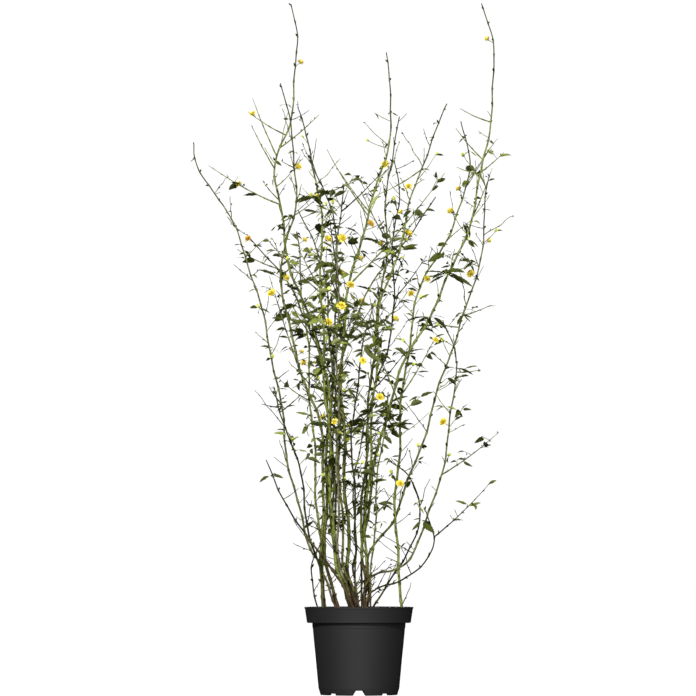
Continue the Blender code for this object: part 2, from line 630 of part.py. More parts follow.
def clear_growth(growth, limbs):
    """The solids of a growth that keep clear of the other canes' limbs and masses."""
    kept = []
    for carrier, carried in growth:
        if touches(carrier, tree_of(carrier), limbs):
            continue
        kept.append(carrier)
        for group in carried:
            if not any(touches(solid, tree_of(solid), limbs) for solid in group):
                kept.extend(group)
    return kept


# Joining
def cut_or_join(target, tools, operation, solver):
    """One applied Boolean of a collection's objects on the target; the collection is removed after."""
    joint = target.modifiers.new("joint", "BOOLEAN")
    joint.operand_type = "COLLECTION"
    joint.collection = tools
    joint.operation = operation
    joint.solver = solver
    apply_modifiers(target)
    for tool in list(tools.objects):
        bpy.data.objects.remove(tool, do_unlink=True)
    bpy.data.collections.remove(tools)


def is_closed(mesh):
    shape = bmesh.new()
    shape.from_mesh(mesh)
    closed = all(edge.is_manifold for edge in shape.edges)
    shape.free()
    return closed and len(mesh.polygons) > 0


def keep_main_body(mesh):
    """Drop every loose scrap and sealed hollow, so that only the largest shell is left."""
    shape = bmesh.new()
    shape.from_mesh(mesh)
    unseen = set(shape.faces)
    shells = []
    while unseen:
        front = [unseen.pop()]
        shell = list(front)
        while front:
            face = front.pop()
            for edge in face.edges:
                for near in edge.link_faces:
                    if near in unseen:
                        unseen.remove(near)
                        front.append(near)
                        shell.append(near)
        shells.append(shell)
    shells.sort(key=len)
    scraps = [face for shell in shells[:-1] for face in shell]
    bmesh.ops.delete(shape, geom=scraps, context="FACES")
    shape.to_mesh(mesh)
    shape.free()


def join_growth(name, stem, growth, colour):
    """One solid from a stem and the solids that grow on it."""
    for solver in ("EXACT", "MANIFOLD"):
        body = object_from(name, *stem, colour, PLANT_ROUGHNESS)
        if growth:
            parts = bpy.data.collections.new("growth")
            for solid in growth:
                piece = object_from("growth", *solid, colour, PLANT_ROUGHNESS)
                bpy.context.scene.collection.objects.unlink(piece)
                parts.objects.link(piece)
            cut_or_join(body, parts, "UNION", solver)
            keep_main_body(body.data)
        if is_closed(body.data):
            body.name = name
            return body
        bpy.data.objects.remove(body, do_unlink=True)
    raise RuntimeError("no closed solid for " + name)


# Plant
def limb_paths(cane):
    """The paths of a cane's lower limb and of its mass's stem; a short cane is a stem all the way."""
    whole = cane_path(cane)
    if cane.fork is None:
        return whole.length, None, whole.stretch(0.0, whole.length, STEM_STEP)
    fork = whole.distance_at_height(cane.fork)
    return (whole.length, whole.stretch(0.0, fork, CANE_STEP),
            whole.stretch(fork + GAP, whole.length, STEM_STEP))


def limb_tubes(cane):
    """The solids of a cane's lower limb and of its mass's stem, and the path that the mass grows on."""
    length, lower_path, stem_path = limb_paths(cane)
    if lower_path is None:
        stem = tube(stem_path, lambda distance: cane_radius(cane, length, distance), CANE_SIDES, True)
        return None, stem, stem_path
    lower = tube(lower_path, lambda distance: cane_radius(cane, length, distance), CANE_SIDES, True)
    risen = lower_path.length + GAP
    stem = tube(stem_path, lambda distance: cane_radius(cane, length, risen + distance), STEM_SIDES)
    return lower, stem, stem_path


def build_plant():
    plan = [(cane, *limb_tubes(cane)) for cane in CANES]
    limbs = {cane.name: [tree_of(limb) for limb in (lower, stem) if limb] for cane, lower, stem, path in plan}
    for cane, lower, stem, path in plan:
        others = [tree for name, trees in limbs.items() if name != cane.name for tree in trees]
        others += [tree_of(lower)] if lower else []
        growth = clear_growth(shoot_growth(cane, path), others)
        growth += clear_growth(bloom_growth(cane, path), others)
        growth += clear_growth(spur_growth(cane, path), others)
        if lower:
            object_from("cane_" + cane.name, *lower, BARK_COLOUR, PLANT_ROUGHNESS)
            joined = join_growth("mass_" + cane.name, stem, growth, FOLIAGE_COLOUR)
        else:
            joined = join_growth("cane_" + cane.name, stem, growth, BARK_COLOUR)
        limbs[cane.name].append(tree_of_object(joined))


def centre_all():
    """Moves every piece so that the origin is at the bottom centre of the whole part's bounding box."""
    corners = [vert.co for obj in bpy.data.objects for vert in obj.data.vertices]
    low = [min(corner[axis] for corner in corners) for axis in range(3)]
    high = [max(corner[axis] for corner in corners) for axis in range(3)]
    shift = Vector((-(low[0] + high[0]) / 2, -(low[1] + high[1]) / 2, -low[2]))
    for obj in bpy.data.objects:
        obj.data.transform(Matrix.Translation(shift))


clear_scene()
build_pot()
build_soil()
build_plant()
centre_all()
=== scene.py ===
import json
import math
import random
from collections import namedtuple

import bpy
import numpy as np
from mathutils import Matrix, Vector, noise

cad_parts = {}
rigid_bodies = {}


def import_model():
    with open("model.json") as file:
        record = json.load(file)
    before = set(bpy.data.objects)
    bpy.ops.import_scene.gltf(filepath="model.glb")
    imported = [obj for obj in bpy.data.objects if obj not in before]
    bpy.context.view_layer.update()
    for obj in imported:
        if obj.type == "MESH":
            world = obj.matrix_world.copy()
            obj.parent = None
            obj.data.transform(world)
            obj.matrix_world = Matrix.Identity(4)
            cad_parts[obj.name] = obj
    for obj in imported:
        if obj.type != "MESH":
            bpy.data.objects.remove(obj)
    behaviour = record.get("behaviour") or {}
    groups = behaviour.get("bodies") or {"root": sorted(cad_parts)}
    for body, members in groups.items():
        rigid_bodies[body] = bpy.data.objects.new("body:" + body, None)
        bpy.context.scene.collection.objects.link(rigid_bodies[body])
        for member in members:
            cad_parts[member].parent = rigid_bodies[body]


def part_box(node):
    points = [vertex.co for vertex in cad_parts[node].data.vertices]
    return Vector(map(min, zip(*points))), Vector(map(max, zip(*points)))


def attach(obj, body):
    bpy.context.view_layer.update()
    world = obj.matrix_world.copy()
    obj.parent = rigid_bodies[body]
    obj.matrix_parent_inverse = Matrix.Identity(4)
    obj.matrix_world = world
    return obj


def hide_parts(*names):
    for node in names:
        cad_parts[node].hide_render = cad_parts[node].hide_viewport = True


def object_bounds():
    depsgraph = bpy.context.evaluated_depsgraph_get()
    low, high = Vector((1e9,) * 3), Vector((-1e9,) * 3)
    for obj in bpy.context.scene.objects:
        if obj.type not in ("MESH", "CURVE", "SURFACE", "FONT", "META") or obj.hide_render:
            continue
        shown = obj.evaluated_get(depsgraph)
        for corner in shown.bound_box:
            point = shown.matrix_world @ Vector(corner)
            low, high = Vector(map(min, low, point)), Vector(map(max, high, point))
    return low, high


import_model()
cad_low, cad_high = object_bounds()
pot_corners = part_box("pot")
AXIS = Vector(((pot_corners[0][0] + pot_corners[1][0]) / 2, (pot_corners[0][1] + pot_corners[1][1]) / 2, 0))

# Camera, set from the photograph: its distance, its height, and the height and width at the plant it frames
CAMERA_DISTANCE = 10.0
CAMERA_SIDE = -0.026
CAMERA_HEIGHT = 0.30
AIM_HEIGHT = 0.827
FRAME_WIDTH = 1.665
SENSOR = 36.0
SIGHT = 100.0

# Light: what the camera sees of the white surround and floor, what the surround gives the part, how far the
# floor runs and how pale it is to the part, and each lamp's name, place, aim, width and power
SURROUND_SEEN = 1.05
SURROUND_LIGHT = 0.045
FLOOR_GLOW = 1.0
FLOOR_REACH = 60
FLOOR_TONE = 0.10
LAMPS = (("key", (-1.0, -5.5, 2.9), (0, 0, 0.7), 0.9, 490),
         ("front", (0.7, -6.0, 1.1), (0, 0, 0.5), 1.0, 205),
         ("back", (0.5, 5.2, 2.6), (0, 0, 0.8), 1.6, 330))

# Pot
POT_HEIGHT = 0.209
RIM_DIAMETER = 0.260
RIM_BAND = 0.038
RIM_BAND_FOOT_DIAMETER = 0.248
BODY_TOP_DIAMETER = 0.2226
BODY_FOOT_DIAMETER = 0.193
FOOT_DIAMETER = 0.186
FOOT_HEIGHT = 0.017
WALL = 0.0025
FOOT_RING_WIDTH = 0.012
BASE_HEIGHT = 0.0125
BASE_THICKNESS = 0.003
NOTCH_OVERCUT = 0.003
POT_SIDES = 192
EDGE_RADIUS = 0.0009
EDGE_SHARE = 0.4
SHARP_FROM = math.radians(38)

# Small steps of the pot's outer wall, each a depth and a height: the two edges of the groove below the band,
# the band's foot, the lip of the rim; and the heights of the inner steps above the wall's thickness
GROOVE_FOOT = (0.0012, 0.0120)
GROOVE_TOP = (0.0004, 0.0105)
BAND_FOOT_INSET = 0.0010
BAND_STEPS = ((0.0002, 0.0020), (0.0004, 0.0045))
LIP_FOOT = (0.0012, 0.0045)
LIP_EDGE = 0.0035
LIP_ROUND = (0.0010, 0.0008)
INNER_STEPS = (0.002, 0.004)

# Soil
SOIL_TOP = 0.1887
GAP = 0.0003
SOIL_CLEAR = 0.0010
SOIL_RINGS = 44
SOIL_SIDES = 120
SOIL_SKIRT = 0.016
SOIL_SINK = 0.0022
SOIL_MIDDLE = 0.0010
SOIL_LUMP = 0.0018
LUMPS_PER_METRE = 55
LUMP_LAYER = 0.3
LUMP_NOISE = (0.7, 2.1, 4)
MOUND = 0.0021
MOUND_SPREAD = 0.004
CRUMBS = 520
CRUMB_MARGIN = 0.006
CRUMB_SINK = 0.0010
CRUMB_SIZE = (0.0008, 0.0030)
CRUMB_SHARE = (0.7, 0.45)
CRUMB_UNEVEN = 0.25
CRUMB_TILT = 0.7

# Canes and twigs, as the part's source has them
TIP_GIRTH = 0.0026
FLARE = 0.35
FLARE_HEIGHT = 0.030
TAPER = 0.85
DEPTH_POWER = 1.25
SWAY = 0.013
SWAYS = 1.6
WAVE = 0.0035
WAVE_LENGTH = 0.24
CURVE_POINTS = 12
SHOOT_POINTS = 12
SHOOT_GIRTH = 0.0030
SHOOT_GIRTH_GAIN = 1.2
SHOOT_SAG = 0.07
TWIG_TIP_GIRTH = 0.0013
GOLDEN_ANGLE = math.radians(137.5)
SPURS_PER_METRE = 6.4
SPUR_LENGTH = (0.035, 0.085)
SPUR_RISE = (0.35, 1.05)
SPUR_GIRTH = 0.0020
SPUR_START = 0.020
NEAR_TIP = 0.98
LEAVES_PER_SPUR = (0.45, 0.75, 1.0)
SHOOT_LEAF_SPACING = 0.060
LEAFY_FROM = 0.30
LEAFY_FULL = (0.52, 1.06)
LEAFY_UNTIL = 1.30
BLOOM_STALK = 0.014
STALK_RISE = 0.6

# Finer growth, made only here: rings and sides of the stems, the ribs and roughness of their bark, and the
# share of a cane's length from which its bark is that of a tip, for long canes and for short ones
CANE_SIDES = 14
CANE_RING = 0.005
TWIG_SIDES = 6
TWIG_RING = 0.007
RIBS = 7
RIB_DEPTH = 0.05
ROUGH_AROUND = 2.2
ROUGH_ALONG = 55
ROUGH_SHIFT = 900
OLD_WOOD_ROUGH = 0.0007
YOUNG_WOOD_ROUGH = 0.0003
BARK_CHANGE = (0.033, 0.077)
SHORTEST_STRETCH = 0.004
LONG_CANE = 0.6
TIP_FROM = (0.86, 0.97)

# Nodes: where the first one is, how far apart they are, how much they swell, and the share of them that carry
# a bud and its length, on canes and on twigs
NODE_START = 0.020
FIRST_NODE = (0.3, 0.7)
NODE_SPREAD = (0.85, 1.15)
NODE_STEP = 0.618
NODE_SPACING = 0.040
NODE_SWELL = 0.42
NODE_WIDTH = 0.0032
ZIGZAG = 0.0012
TWIG_NODE_START = 0.008
TWIG_NODE_SPACING = 0.024
CANE_BUDS = (0.95, 0.0080)
TWIG_BUDS = (0.70, 0.0048)
SCALE_BUD = ((0.0, 0.55), (0.25, 1.0), (0.6, 0.75), (0.85, 0.35))
SCALE_BUD_SIDES = 5
BUD_SIZES = (0.6, 1.4)
BUD_WIDTH = 0.48
BUD_TURN = 0.8
BUD_ROOT = 0.8
BUD_LEAN = (0.7, 0.9)

# Leaves: outline and folds as shares of the length, then how they stand
LEAF_LENGTH = (0.026, 0.050)
LEAF_WIDTH = 0.235
LEAF_FULLNESS = 2.35
LEAF_FOOT_CURVE = 0.62
LEAF_TIP_CURVE = 0.95
LEAF_TEETH = 8
TOOTH_FOOT = 0.55
TOOTH_TIP = 0.6
TOOTH_CUT = 0.84
TOOTH_FORWARD = 0.03
PLEAT_AT = 0.52
PLEAT = (0.012, -0.008)
LEAF_SWAY = 0.03
LEAF_RIPPLE = 0.02
LEAF_FORWARD = (0.55, 0.85)
LEAF_OUTWARD = 0.8
LEAF_HANG = (-0.10, 0.75)
LEAF_TWIST = math.radians(65)
LEAF_STALK = 0.16
LEAF_STALK_RADIUS = 0.00055
LEAF_TINTS = (("deep", 0.38), ("middle", 0.73), ("fresh", 0.92), ("pale", 1.0))

# Sizes of leaves by the place where they grow, against those of a spur
SHOOT_LEAF = 0.85
TUFT_LEAF = 0.60
CLUSTER_LEAF = 0.86
CLUSTER_SHARE = 0.10
SIDE_LEAF = 0.62
YOUNG_LEAF = 0.34
YOUNG_LEAVES = (0.95, 1.44)
YOUNG_LEAF_SHARE = 0.55

# Tufts and clusters: their stalks, how steeply their leaves stand and how their sizes vary
TUFT_STALK = 0.004
TUFT_RISE = (-0.7, 0.8)
TUFT_SIZES = (0.65, 1.25)
CLUSTER_STALK = 0.006
CLUSTER_RISE = (-0.3, 0.6)
CLUSTER_HANG = 0.5
CLUSTER_LENGTHS = (0.4, 1.0)
CLUSTER_SIZES = (0.75, 1.15)

# Fine spurs: leafier in the heart of the shrub and on the low leafy canes, longer and barer high up; a pair
# of shares is that of the least and of the most leafy place, or that of low and of high spurs
FINE_SPURS_PER_METRE = 21.5
FINE_SPUR_LENGTH = (0.008, 0.050)
FINE_SPUR_RISE = (0.25, 1.15)
FINE_SPUR_GIRTH = 0.0019
BARE_SPUR_GIRTH = 0.0018
SPURS_BY_LEAFINESS = (0.35, 1.0)
SPURS_KEPT = (0.35, 0.75)
LEAFY_SPURS_KEPT = 0.65
TUFTS_BY_LEAFINESS = (0.10, 1.0)
TUFT_END = 0.97
LEAFY_CANE = 0.75
TUFTED_CANE = 0.55
BARE_SPUR_SHARE = (0.20, 0.45)
GREEN_SPUR_SHARE = 0.60
BUD_SPUR_FROM = 0.78
FINE_BELOW_FORK = 0.25
FINE_FROM = 0.06
FINE_UNTIL = 1.40
HEART = (0.62, 1.20)
BUD_HEIGHTS = (0.50, 1.35)
HEART_FINE_GAIN = 1.7
LOW_LEAVES_FROM = 0.36
HIGH_FROM = 1.08
HIGH_SPUR_GAIN = 1.9

# Side twigs of the stated shoots
SIDE_TWIGS_PER_METRE = 26.0
SIDE_TWIGS_FROM = 0.2
SIDE_TWIG_LENGTH = (0.010, 0.034)
SIDE_TWIG_RISE = (0.2, 1.1)
SIDE_TWIG_GIRTH = 0.0015
SIDE_TWIGS_KEPT = (0.25, 1.0)
SIDE_TWIG_LEAVES = ((0.6, 1), (1.0, -1))

# Bare crooked twigs: dead ones low down, live ones in the crown
DRY_TWIGS_PER_METRE = 9.0
DRY_TWIG_LENGTH = (0.025, 0.110)
DRY_TWIG_RISE = (0.35, 1.25)
DRY_TWIGS_PAST_FORK = 0.12
DRY_TWIGS_END = 0.8
DRY_TWIGS_END_UNFORKED = 0.7
DRY_TWIG_GIRTH = 0.0020
DRY_TWIG_KINK = 0.022
DRY_TWIG_BENDS = 5
CROWN_TWIGS_PER_METRE = 20.0
CROWN_TWIG_LENGTH = (0.030, 0.105)
CROWN_TWIG_RISE = (0.45, 1.25)
CROWN_TWIGS_UNTIL = 1.36
CROWN_TWIGS_END = 0.90
CROOKED_POWER = 1.5
CROOKED_GIRTHS = (0.8, 1.3)

# Blossom: sizes, how far a bloom turns to the front and up, how open it is, and the share of faded ones
BLOOM_RADIUS = 0.0125
BLOOM_SIZE = (0.74, 1.07)
BLOOM_OPEN = (0.30, 1.0)
BLOOM_FRONT = 0.35
BLOOM_UP = 0.55
BLOOM_STALK_RADIUS = 0.0008
FADED_SHARE = 0.03
PETAL_ROWS = ((0.0, 0.35), (0.35, 0.8), (0.7, 1.0), (0.95, 0.72))
PETAL_CURL_BACK = 0.12
PETAL_CURL_UP = 0.25
PETAL_NOTCH = 0.07
PETAL_CUP = 0.16
PETAL_REACH = (0.86, 1.10)
PETAL_WIDTH = (0.08, 0.48)
PETAL_LIFT = 0.22
CLOSED_LIFT = 0.7
STEEPEST_PETAL = 1.5
PETAL_CURL = 0.4
WHORL_STEP = 0.10
SEPALS = 5
SEPAL_DROP = 0.15
SEPAL_DEPTH = 0.10
OUTER_WHORLS = 4
BUD_RADIUS = 0.0056
BUD_PETALS = 9
FLOWER_BUD_SIZES = (0.7, 1.3)

# A turn drawn at random: a full turn, near enough
ANY_TURN = 6.3

# A drain notch of the foot ring: its widths at the ground and at its top, outside and inside the ring, and
# its height
Notch = namedtuple("Notch", "outer_foot outer_top inner_foot inner_top height")
WIDE_NOTCH = Notch(0.038, 0.022, 0.030, 0.014, 0.0120)
NARROW_NOTCH = Notch(0.030, 0.027, 0.028, 0.024, 0.0045)
NOTCHES = (WIDE_NOTCH, NARROW_NOTCH) * 4

Cane = namedtuple("Cane", "name foot tip_depth girth fork leafy bends shoots blooms bark")
Shoot = namedtuple("Shoot", "at reach bloom")


def shoot(at, reach, bloom=None):
    """A side shoot: height of its root on the cane, its reach from there, and its bloom's share along it."""
    return Shoot(at, Vector(reach), bloom)


# Each cane: foot (x, y) on the soil, depth y of its tip, girth at the foot, height where its twigs begin,
# leafiness, bends (x, z) from the foot to the tip, side shoots, blooms (height, turn about the cane), and
# the bark of its length: height up to which it is old wood, then its main bark
CANES = (
    Cane("far_left", (-0.016, 0.020), 0.045, 0.0054, 0.66, 0.35,
         ((-0.020, 0.225), (-0.036, 0.272), (-0.070, 0.306), (-0.115, 0.350), (-0.160, 0.510),
          (-0.190, 0.705), (-0.215, 0.840), (-0.285, 1.090), (-0.385, 1.265), (-0.400, 1.325)),
         (shoot(0.690, (-0.030, -0.040, 0.045)),), (), (0.26, "olive")),
    Cane("left_tall", (-0.045, 0.030), 0.170, 0.0078, 0.74, 0.45,
         ((-0.080, 0.340), (-0.075, 0.585), (-0.080, 0.780), (-0.160, 1.010), (-0.190, 1.165),
          (-0.200, 1.280), (-0.165, 1.400), (-0.150, 1.565), (-0.167, 1.676)),
         (shoot(1.140, (0.075, -0.040, 0.045), 1.0), shoot(1.180, (-0.175, 0.040, 0.100), 0.48),
          shoot(1.190, (-0.040, -0.030, 0.045)), shoot(1.225, (0.040, 0.030, 0.040), 1.0),
          shoot(1.270, (-0.055, -0.040, 0.100)), shoot(1.300, (-0.060, 0.050, 0.145)),
          shoot(1.320, (0.095, -0.050, 0.075)), shoot(1.350, (-0.090, -0.020, 0.055), 0.75)),
         ((1.520, 10),), (0.24, "green")),
    Cane("left_second", (-0.085, -0.012), -0.140, 0.0072, 0.62, 0.45,
         ((-0.090, 0.370), (-0.085, 0.595), (-0.135, 0.765), (-0.180, 0.935), (-0.175, 1.070),
          (-0.147, 1.195), (-0.168, 1.370), (-0.185, 1.450)),
         (shoot(0.735, (-0.085, -0.040, 0.260), 0.80), shoot(1.170, (0.160, -0.050, 0.055)),
          shoot(1.250, (-0.030, -0.030, 0.015)), shoot(1.255, (0.015, 0.030, 0.030))),
         ((0.805, 20), (0.980, 10)), (0.20, "olive")),
    Cane("left_third", (-0.012, -0.048), -0.220, 0.0082, 0.58, 1.0,
         ((-0.030, 0.250), (-0.052, 0.305), (-0.062, 0.370), (-0.070, 0.580), (-0.085, 0.830),
          (-0.090, 1.050), (-0.095, 1.190), (-0.145, 1.380)),
         (shoot(0.960, (-0.050, -0.055, 0.090)),),
         ((0.645, 160), (0.870, 320), (1.065, 350)), (0.20, "green")),
    Cane("left_inner", (-0.078, 0.012), -0.030, 0.0060, 0.55, 0.9,
         ((-0.086, 0.280), (-0.095, 0.390), (-0.110, 0.620), (-0.125, 0.855), (-0.150, 1.105)),
         (shoot(0.700, (-0.065, -0.030, 0.045)),),
         ((0.780, 200), (1.075, 0)), (0.20, "green")),
    Cane("left_leaning", (-0.016, 0.036), 0.190, 0.0056, 0.60, 0.5,
         ((-0.040, 0.275), (-0.065, 0.415), (-0.070, 0.660), (-0.095, 0.815), (-0.165, 0.980),
          (-0.270, 1.115)),
         (shoot(1.030, (-0.100, 0.030, 0.050)), shoot(0.860, (-0.050, 0.070, 0.080))),
         ((1.095, 200),), (0.22, "olive")),
    Cane("inner_left", (-0.018, 0.059), 0.290, 0.0056, 0.56, 0.8,
         ((-0.036, 0.262), (-0.052, 0.310), (-0.060, 0.385), (-0.065, 0.580), (-0.070, 0.880),
          (-0.100, 1.080), (-0.150, 1.180)),
         (shoot(0.960, (-0.150, 0.060, 0.150)), shoot(0.760, (-0.040, 0.110, 0.110))),
         ((1.000, 80),), (0.22, "olive")),
    Cane("centre_back", (-0.014, 0.080), 0.330, 0.0060, 0.52, 1.0,
         ((-0.024, 0.255), (-0.048, 0.310), (-0.055, 0.375), (-0.060, 0.560), (-0.058, 0.935),
          (-0.055, 1.125), (-0.120, 1.325)),
         (shoot(0.820, (0.060, 0.110, 0.130), 1.0), shoot(1.040, (-0.020, 0.100, 0.150))),
         ((0.700, 100), (1.015, 40)), (0.24, "grey")),
    Cane("centre_front", (-0.010, -0.063), -0.300, 0.0062, 0.50, 1.0,
         ((-0.026, 0.248), (-0.042, 0.300), (-0.050, 0.380), (-0.050, 0.605), (-0.050, 0.995),
          (-0.040, 1.190)),
         (shoot(1.130, (0.095, -0.040, 0.090)), shoot(0.780, (-0.030, -0.110, 0.120))),
         ((0.635, 230), (0.905, 300), (1.060, 330)), (0.235, "grey")),
    Cane("diagonal", (-0.002, -0.034), -0.110, 0.0060, 0.60, 0.6,
         ((-0.012, 0.250), (-0.034, 0.305), (-0.040, 0.390), (-0.045, 0.745), (0.005, 0.925), (0.090, 1.050),
          (0.185, 1.180)),
         (shoot(0.850, (0.050, -0.090, 0.060)),), (), (0.245, "olive")),
    Cane("centre_tall", (-0.004, 0.004), 0.080, 0.0088, 0.62, 0.8,
         ((-0.014, 0.245), (-0.027, 0.300), (-0.027, 0.400), (-0.035, 0.570), (-0.040, 0.840),
          (-0.010, 1.035), (0.035, 1.190), (0.070, 1.325), (0.080, 1.450), (0.063, 1.550)),
         (shoot(0.980, (0.230, -0.060, 0.265)), shoot(1.150, (-0.100, -0.050, 0.155)),
          shoot(1.160, (-0.070, 0.040, 0.100))),
         ((0.970, 300), (1.035, 20), (1.120, 340)), (0.26, "green")),
    Cane("centre_hooked", (0.005, 0.050), 0.230, 0.0062, 0.50, 0.6,
         ((0.016, 0.270), (0.004, 0.335), (0.010, 0.465), (0.035, 0.815), (0.065, 1.060), (0.070, 1.235),
          (0.088, 1.345), (0.103, 1.405)),
         (shoot(0.880, (0.080, 0.090, 0.100)), shoot(1.100, (-0.060, 0.080, 0.120))),
         ((0.995, 10), (1.080, 160), (1.275, 200)), (0.235, "olive")),
    Cane("right_leaning", (0.006, -0.016), -0.190, 0.0064, 0.46, 0.6,
         ((0.020, 0.270), (0.014, 0.340), (0.020, 0.465), (0.043, 0.815), (0.055, 0.940), (0.105, 1.085),
          (0.135, 1.215), (0.210, 1.395)),
         (shoot(1.240, (-0.100, -0.030, -0.060)), shoot(0.840, (-0.020, -0.110, 0.100))),
         ((1.080, 0), (1.130, 190), (1.190, 220)), (0.25, "green")),
    Cane("grey_thin", (0.010, 0.078), 0.320, 0.0050, 0.46, 0.5,
         ((0.004, 0.290), (0.014, 0.400), (0.015, 0.515), (0.035, 0.735), (0.080, 0.860), (0.085, 1.075),
          (0.098, 1.220), (0.090, 1.310)),
         (shoot(0.740, (0.090, 0.070, 0.110)), shoot(0.960, (0.080, 0.050, 0.110))), ((0.900, 60),),
         (0.22, "dark")),
    Cane("inner_right", (0.003, -0.050), -0.270, 0.0050, 0.45, 1.0,
         ((-0.014, 0.290), (-0.004, 0.345), (-0.010, 0.415), (-0.015, 0.625), (0.000, 0.765), (0.035, 0.925)),
         (shoot(0.620, (0.060, -0.060, 0.070), 1.0), shoot(0.560, (-0.070, -0.080, 0.080))),
         ((0.775, 300),), (0.24, "dark")),
    Cane("right_tall", (0.017, 0.003), -0.070, 0.0070, 0.56, 0.40,
         ((0.024, 0.258), (0.010, 0.320), (0.012, 0.380), (0.045, 0.580), (0.100, 0.770), (0.190, 0.945),
          (0.260, 1.110), (0.300, 1.285), (0.325, 1.505), (0.293, 1.650)),
         (shoot(1.135, (0.050, 0.050, 0.125)), shoot(1.240, (-0.055, 0.020, 0.020)),
          shoot(1.245, (0.055, -0.030, 0.045)), shoot(1.275, (-0.065, 0.040, 0.080)),
          shoot(1.365, (-0.075, -0.030, 0.030))),
         ((1.555, 170),), (0.255, "green")),
    Cane("far_right", (0.010, 0.025), 0.090, 0.0058, 0.60, 0.45,
         ((0.014, 0.246), (0.024, 0.292), (0.028, 0.345), (0.080, 0.414), (0.105, 0.470), (0.160, 0.630),
          (0.240, 0.880), (0.285, 1.005), (0.315, 1.250)),
         (shoot(0.880, (-0.070, 0.050, 0.020)), shoot(0.910, (0.066, -0.020, 0.022))),
         ((1.000, 200), (1.080, 0)), (0.24, "olive")),
    Cane("right_low", (0.016, -0.033), 0.020, 0.0054, 0.48, 0.55,
         ((0.015, 0.240), (0.024, 0.272), (0.050, 0.290), (0.085, 0.298), (0.122, 0.330), (0.170, 0.435),
          (0.215, 0.620), (0.230, 0.805), (0.205, 0.895)),
         (shoot(0.525, (0.135, -0.030, 0.100)), shoot(0.770, (0.055, 0.030, 0.005))),
         ((0.640, 190),), (0.26, "olive")),
    Cane("right_green", (0.105, 0.004), 0.060, 0.0064, 0.48, 0.55,
         ((0.090, 0.345), (0.090, 0.490), (0.105, 0.715), (0.120, 0.835), (0.155, 0.995),
          (0.230, 1.125), (0.265, 1.270), (0.250, 1.380)),
         (shoot(0.690, (-0.065, 0.030, 0.170)), shoot(0.715, (0.080, -0.030, 0.135), 0.9),
          shoot(1.000, (0.125, -0.050, 0.030))),
         ((0.950, 200), (0.985, 340), (1.150, 190), (1.205, 180)), (0.19, "green")),
    Cane("left_dark", (-0.045, -0.028), -0.090, 0.0056, None, 0.3,
         ((-0.074, 0.257), (-0.110, 0.350), (-0.145, 0.545), (-0.205, 0.730)),
         (shoot(0.670, (0.050, -0.030, 0.040)), shoot(0.680, (-0.040, 0.020, 0.010)),
          shoot(0.560, (-0.020, -0.060, 0.060))), (), (0.23, "dark")),
    Cane("left_arch", (-0.002, -0.077), -0.190, 0.0056, None, 0.2,
         ((-0.085, 0.330), (-0.175, 0.450), (-0.215, 0.555)), (), (), (0.34, "dark")),
    Cane("low_right", (0.017, -0.056), -0.060, 0.0044, None, 0.5,
         ((0.019, 0.236), (0.052, 0.257), (0.105, 0.273), (0.154, 0.311), (0.175, 0.365), (0.155, 0.445)),
         (shoot(0.375, (0.135, -0.020, 0.130)),), (), (0.22, "dark")),
    Cane("low_arch", (0.020, 0.050), 0.160, 0.0046, None, 0.5,
         ((0.066, 0.257), (0.112, 0.325), (0.145, 0.425), (0.130, 0.515), (0.070, 0.565)), (), (),
         (0.22, "dark")),
    Cane("short_right", (0.026, -0.076), -0.180, 0.0044, None, 1.0,
         ((0.040, 0.460), (0.070, 0.715)),
         (shoot(0.430, (0.050, -0.040, 0.060), 1.0),), (), (0.24, "olive")),
    Cane("short_mid", (-0.005, 0.098), 0.170, 0.0044, None, 1.0,
         ((-0.010, 0.490), (0.010, 0.650)), (shoot(0.420, (-0.050, 0.060, 0.080)),), (), (0.24, "olive")),
    Cane("loop_stem", (-0.090, -0.046), -0.066, 0.0038, None, 0.0,
         ((-0.115, 0.300), (-0.092, 0.365)), (), (), (0.19, "dark")),
)


# Gathering many small shapes into one piece
class Piece:
    """Corners and faces of many small shapes, which become one mesh object."""

    def __init__(self, name):
        self.name = name
        self.corners = []
        self.faces = []
        self.count = 0

    def add(self, corners, faces):
        """Adds one shape's corners and faces."""
        self.corners.append(np.asarray(corners, dtype=float))
        self.faces.extend(tuple(int(i) + self.count for i in face) for face in faces)
        self.count += len(corners)

    def make(self, material, slot_name, replaced=()):
        """The mesh object, with its material and the nodes that it takes the place of; slot_name is not used.
        """
        if not self.corners:
            return None
        mesh = bpy.data.meshes.new(self.name)
        mesh.from_pydata((np.concatenate(self.corners) + np.array(AXIS)).tolist(), [], self.faces)
        mesh.polygons.foreach_set("use_smooth", [True] * len(mesh.polygons))
        mesh.materials.append(material)
        mesh.update()
        obj = bpy.data.objects.new(self.name, mesh)
        bpy.context.scene.collection.objects.link(obj)
        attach(obj, "root")
        if replaced:
            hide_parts(*replaced)
        return obj


# Paths
def between(low_high, share):
    """The value at a share of the way from a low one to a high one."""
    return low_high[0] + (low_high[1] - low_high[0]) * share


def smooth_curve(places, steps=CURVE_POINTS):
    """Closely spaced points on a smooth curve through the places."""
    ends = [2 * places[0] - places[1], *places, 2 * places[-1] - places[-2]]
    fine = []
    for i in range(len(places) - 1):
        a, b, c, d = ends[i:i + 4]
        for k in range(steps):
            f = k / steps
            fine.append(0.5 * (2 * b + (c - a) * f + (2 * a - 5 * b + 4 * c - d) * f * f
                               + (3 * b - a - 3 * c + d) * f ** 3))
    fine.append(places[-1])
    return fine


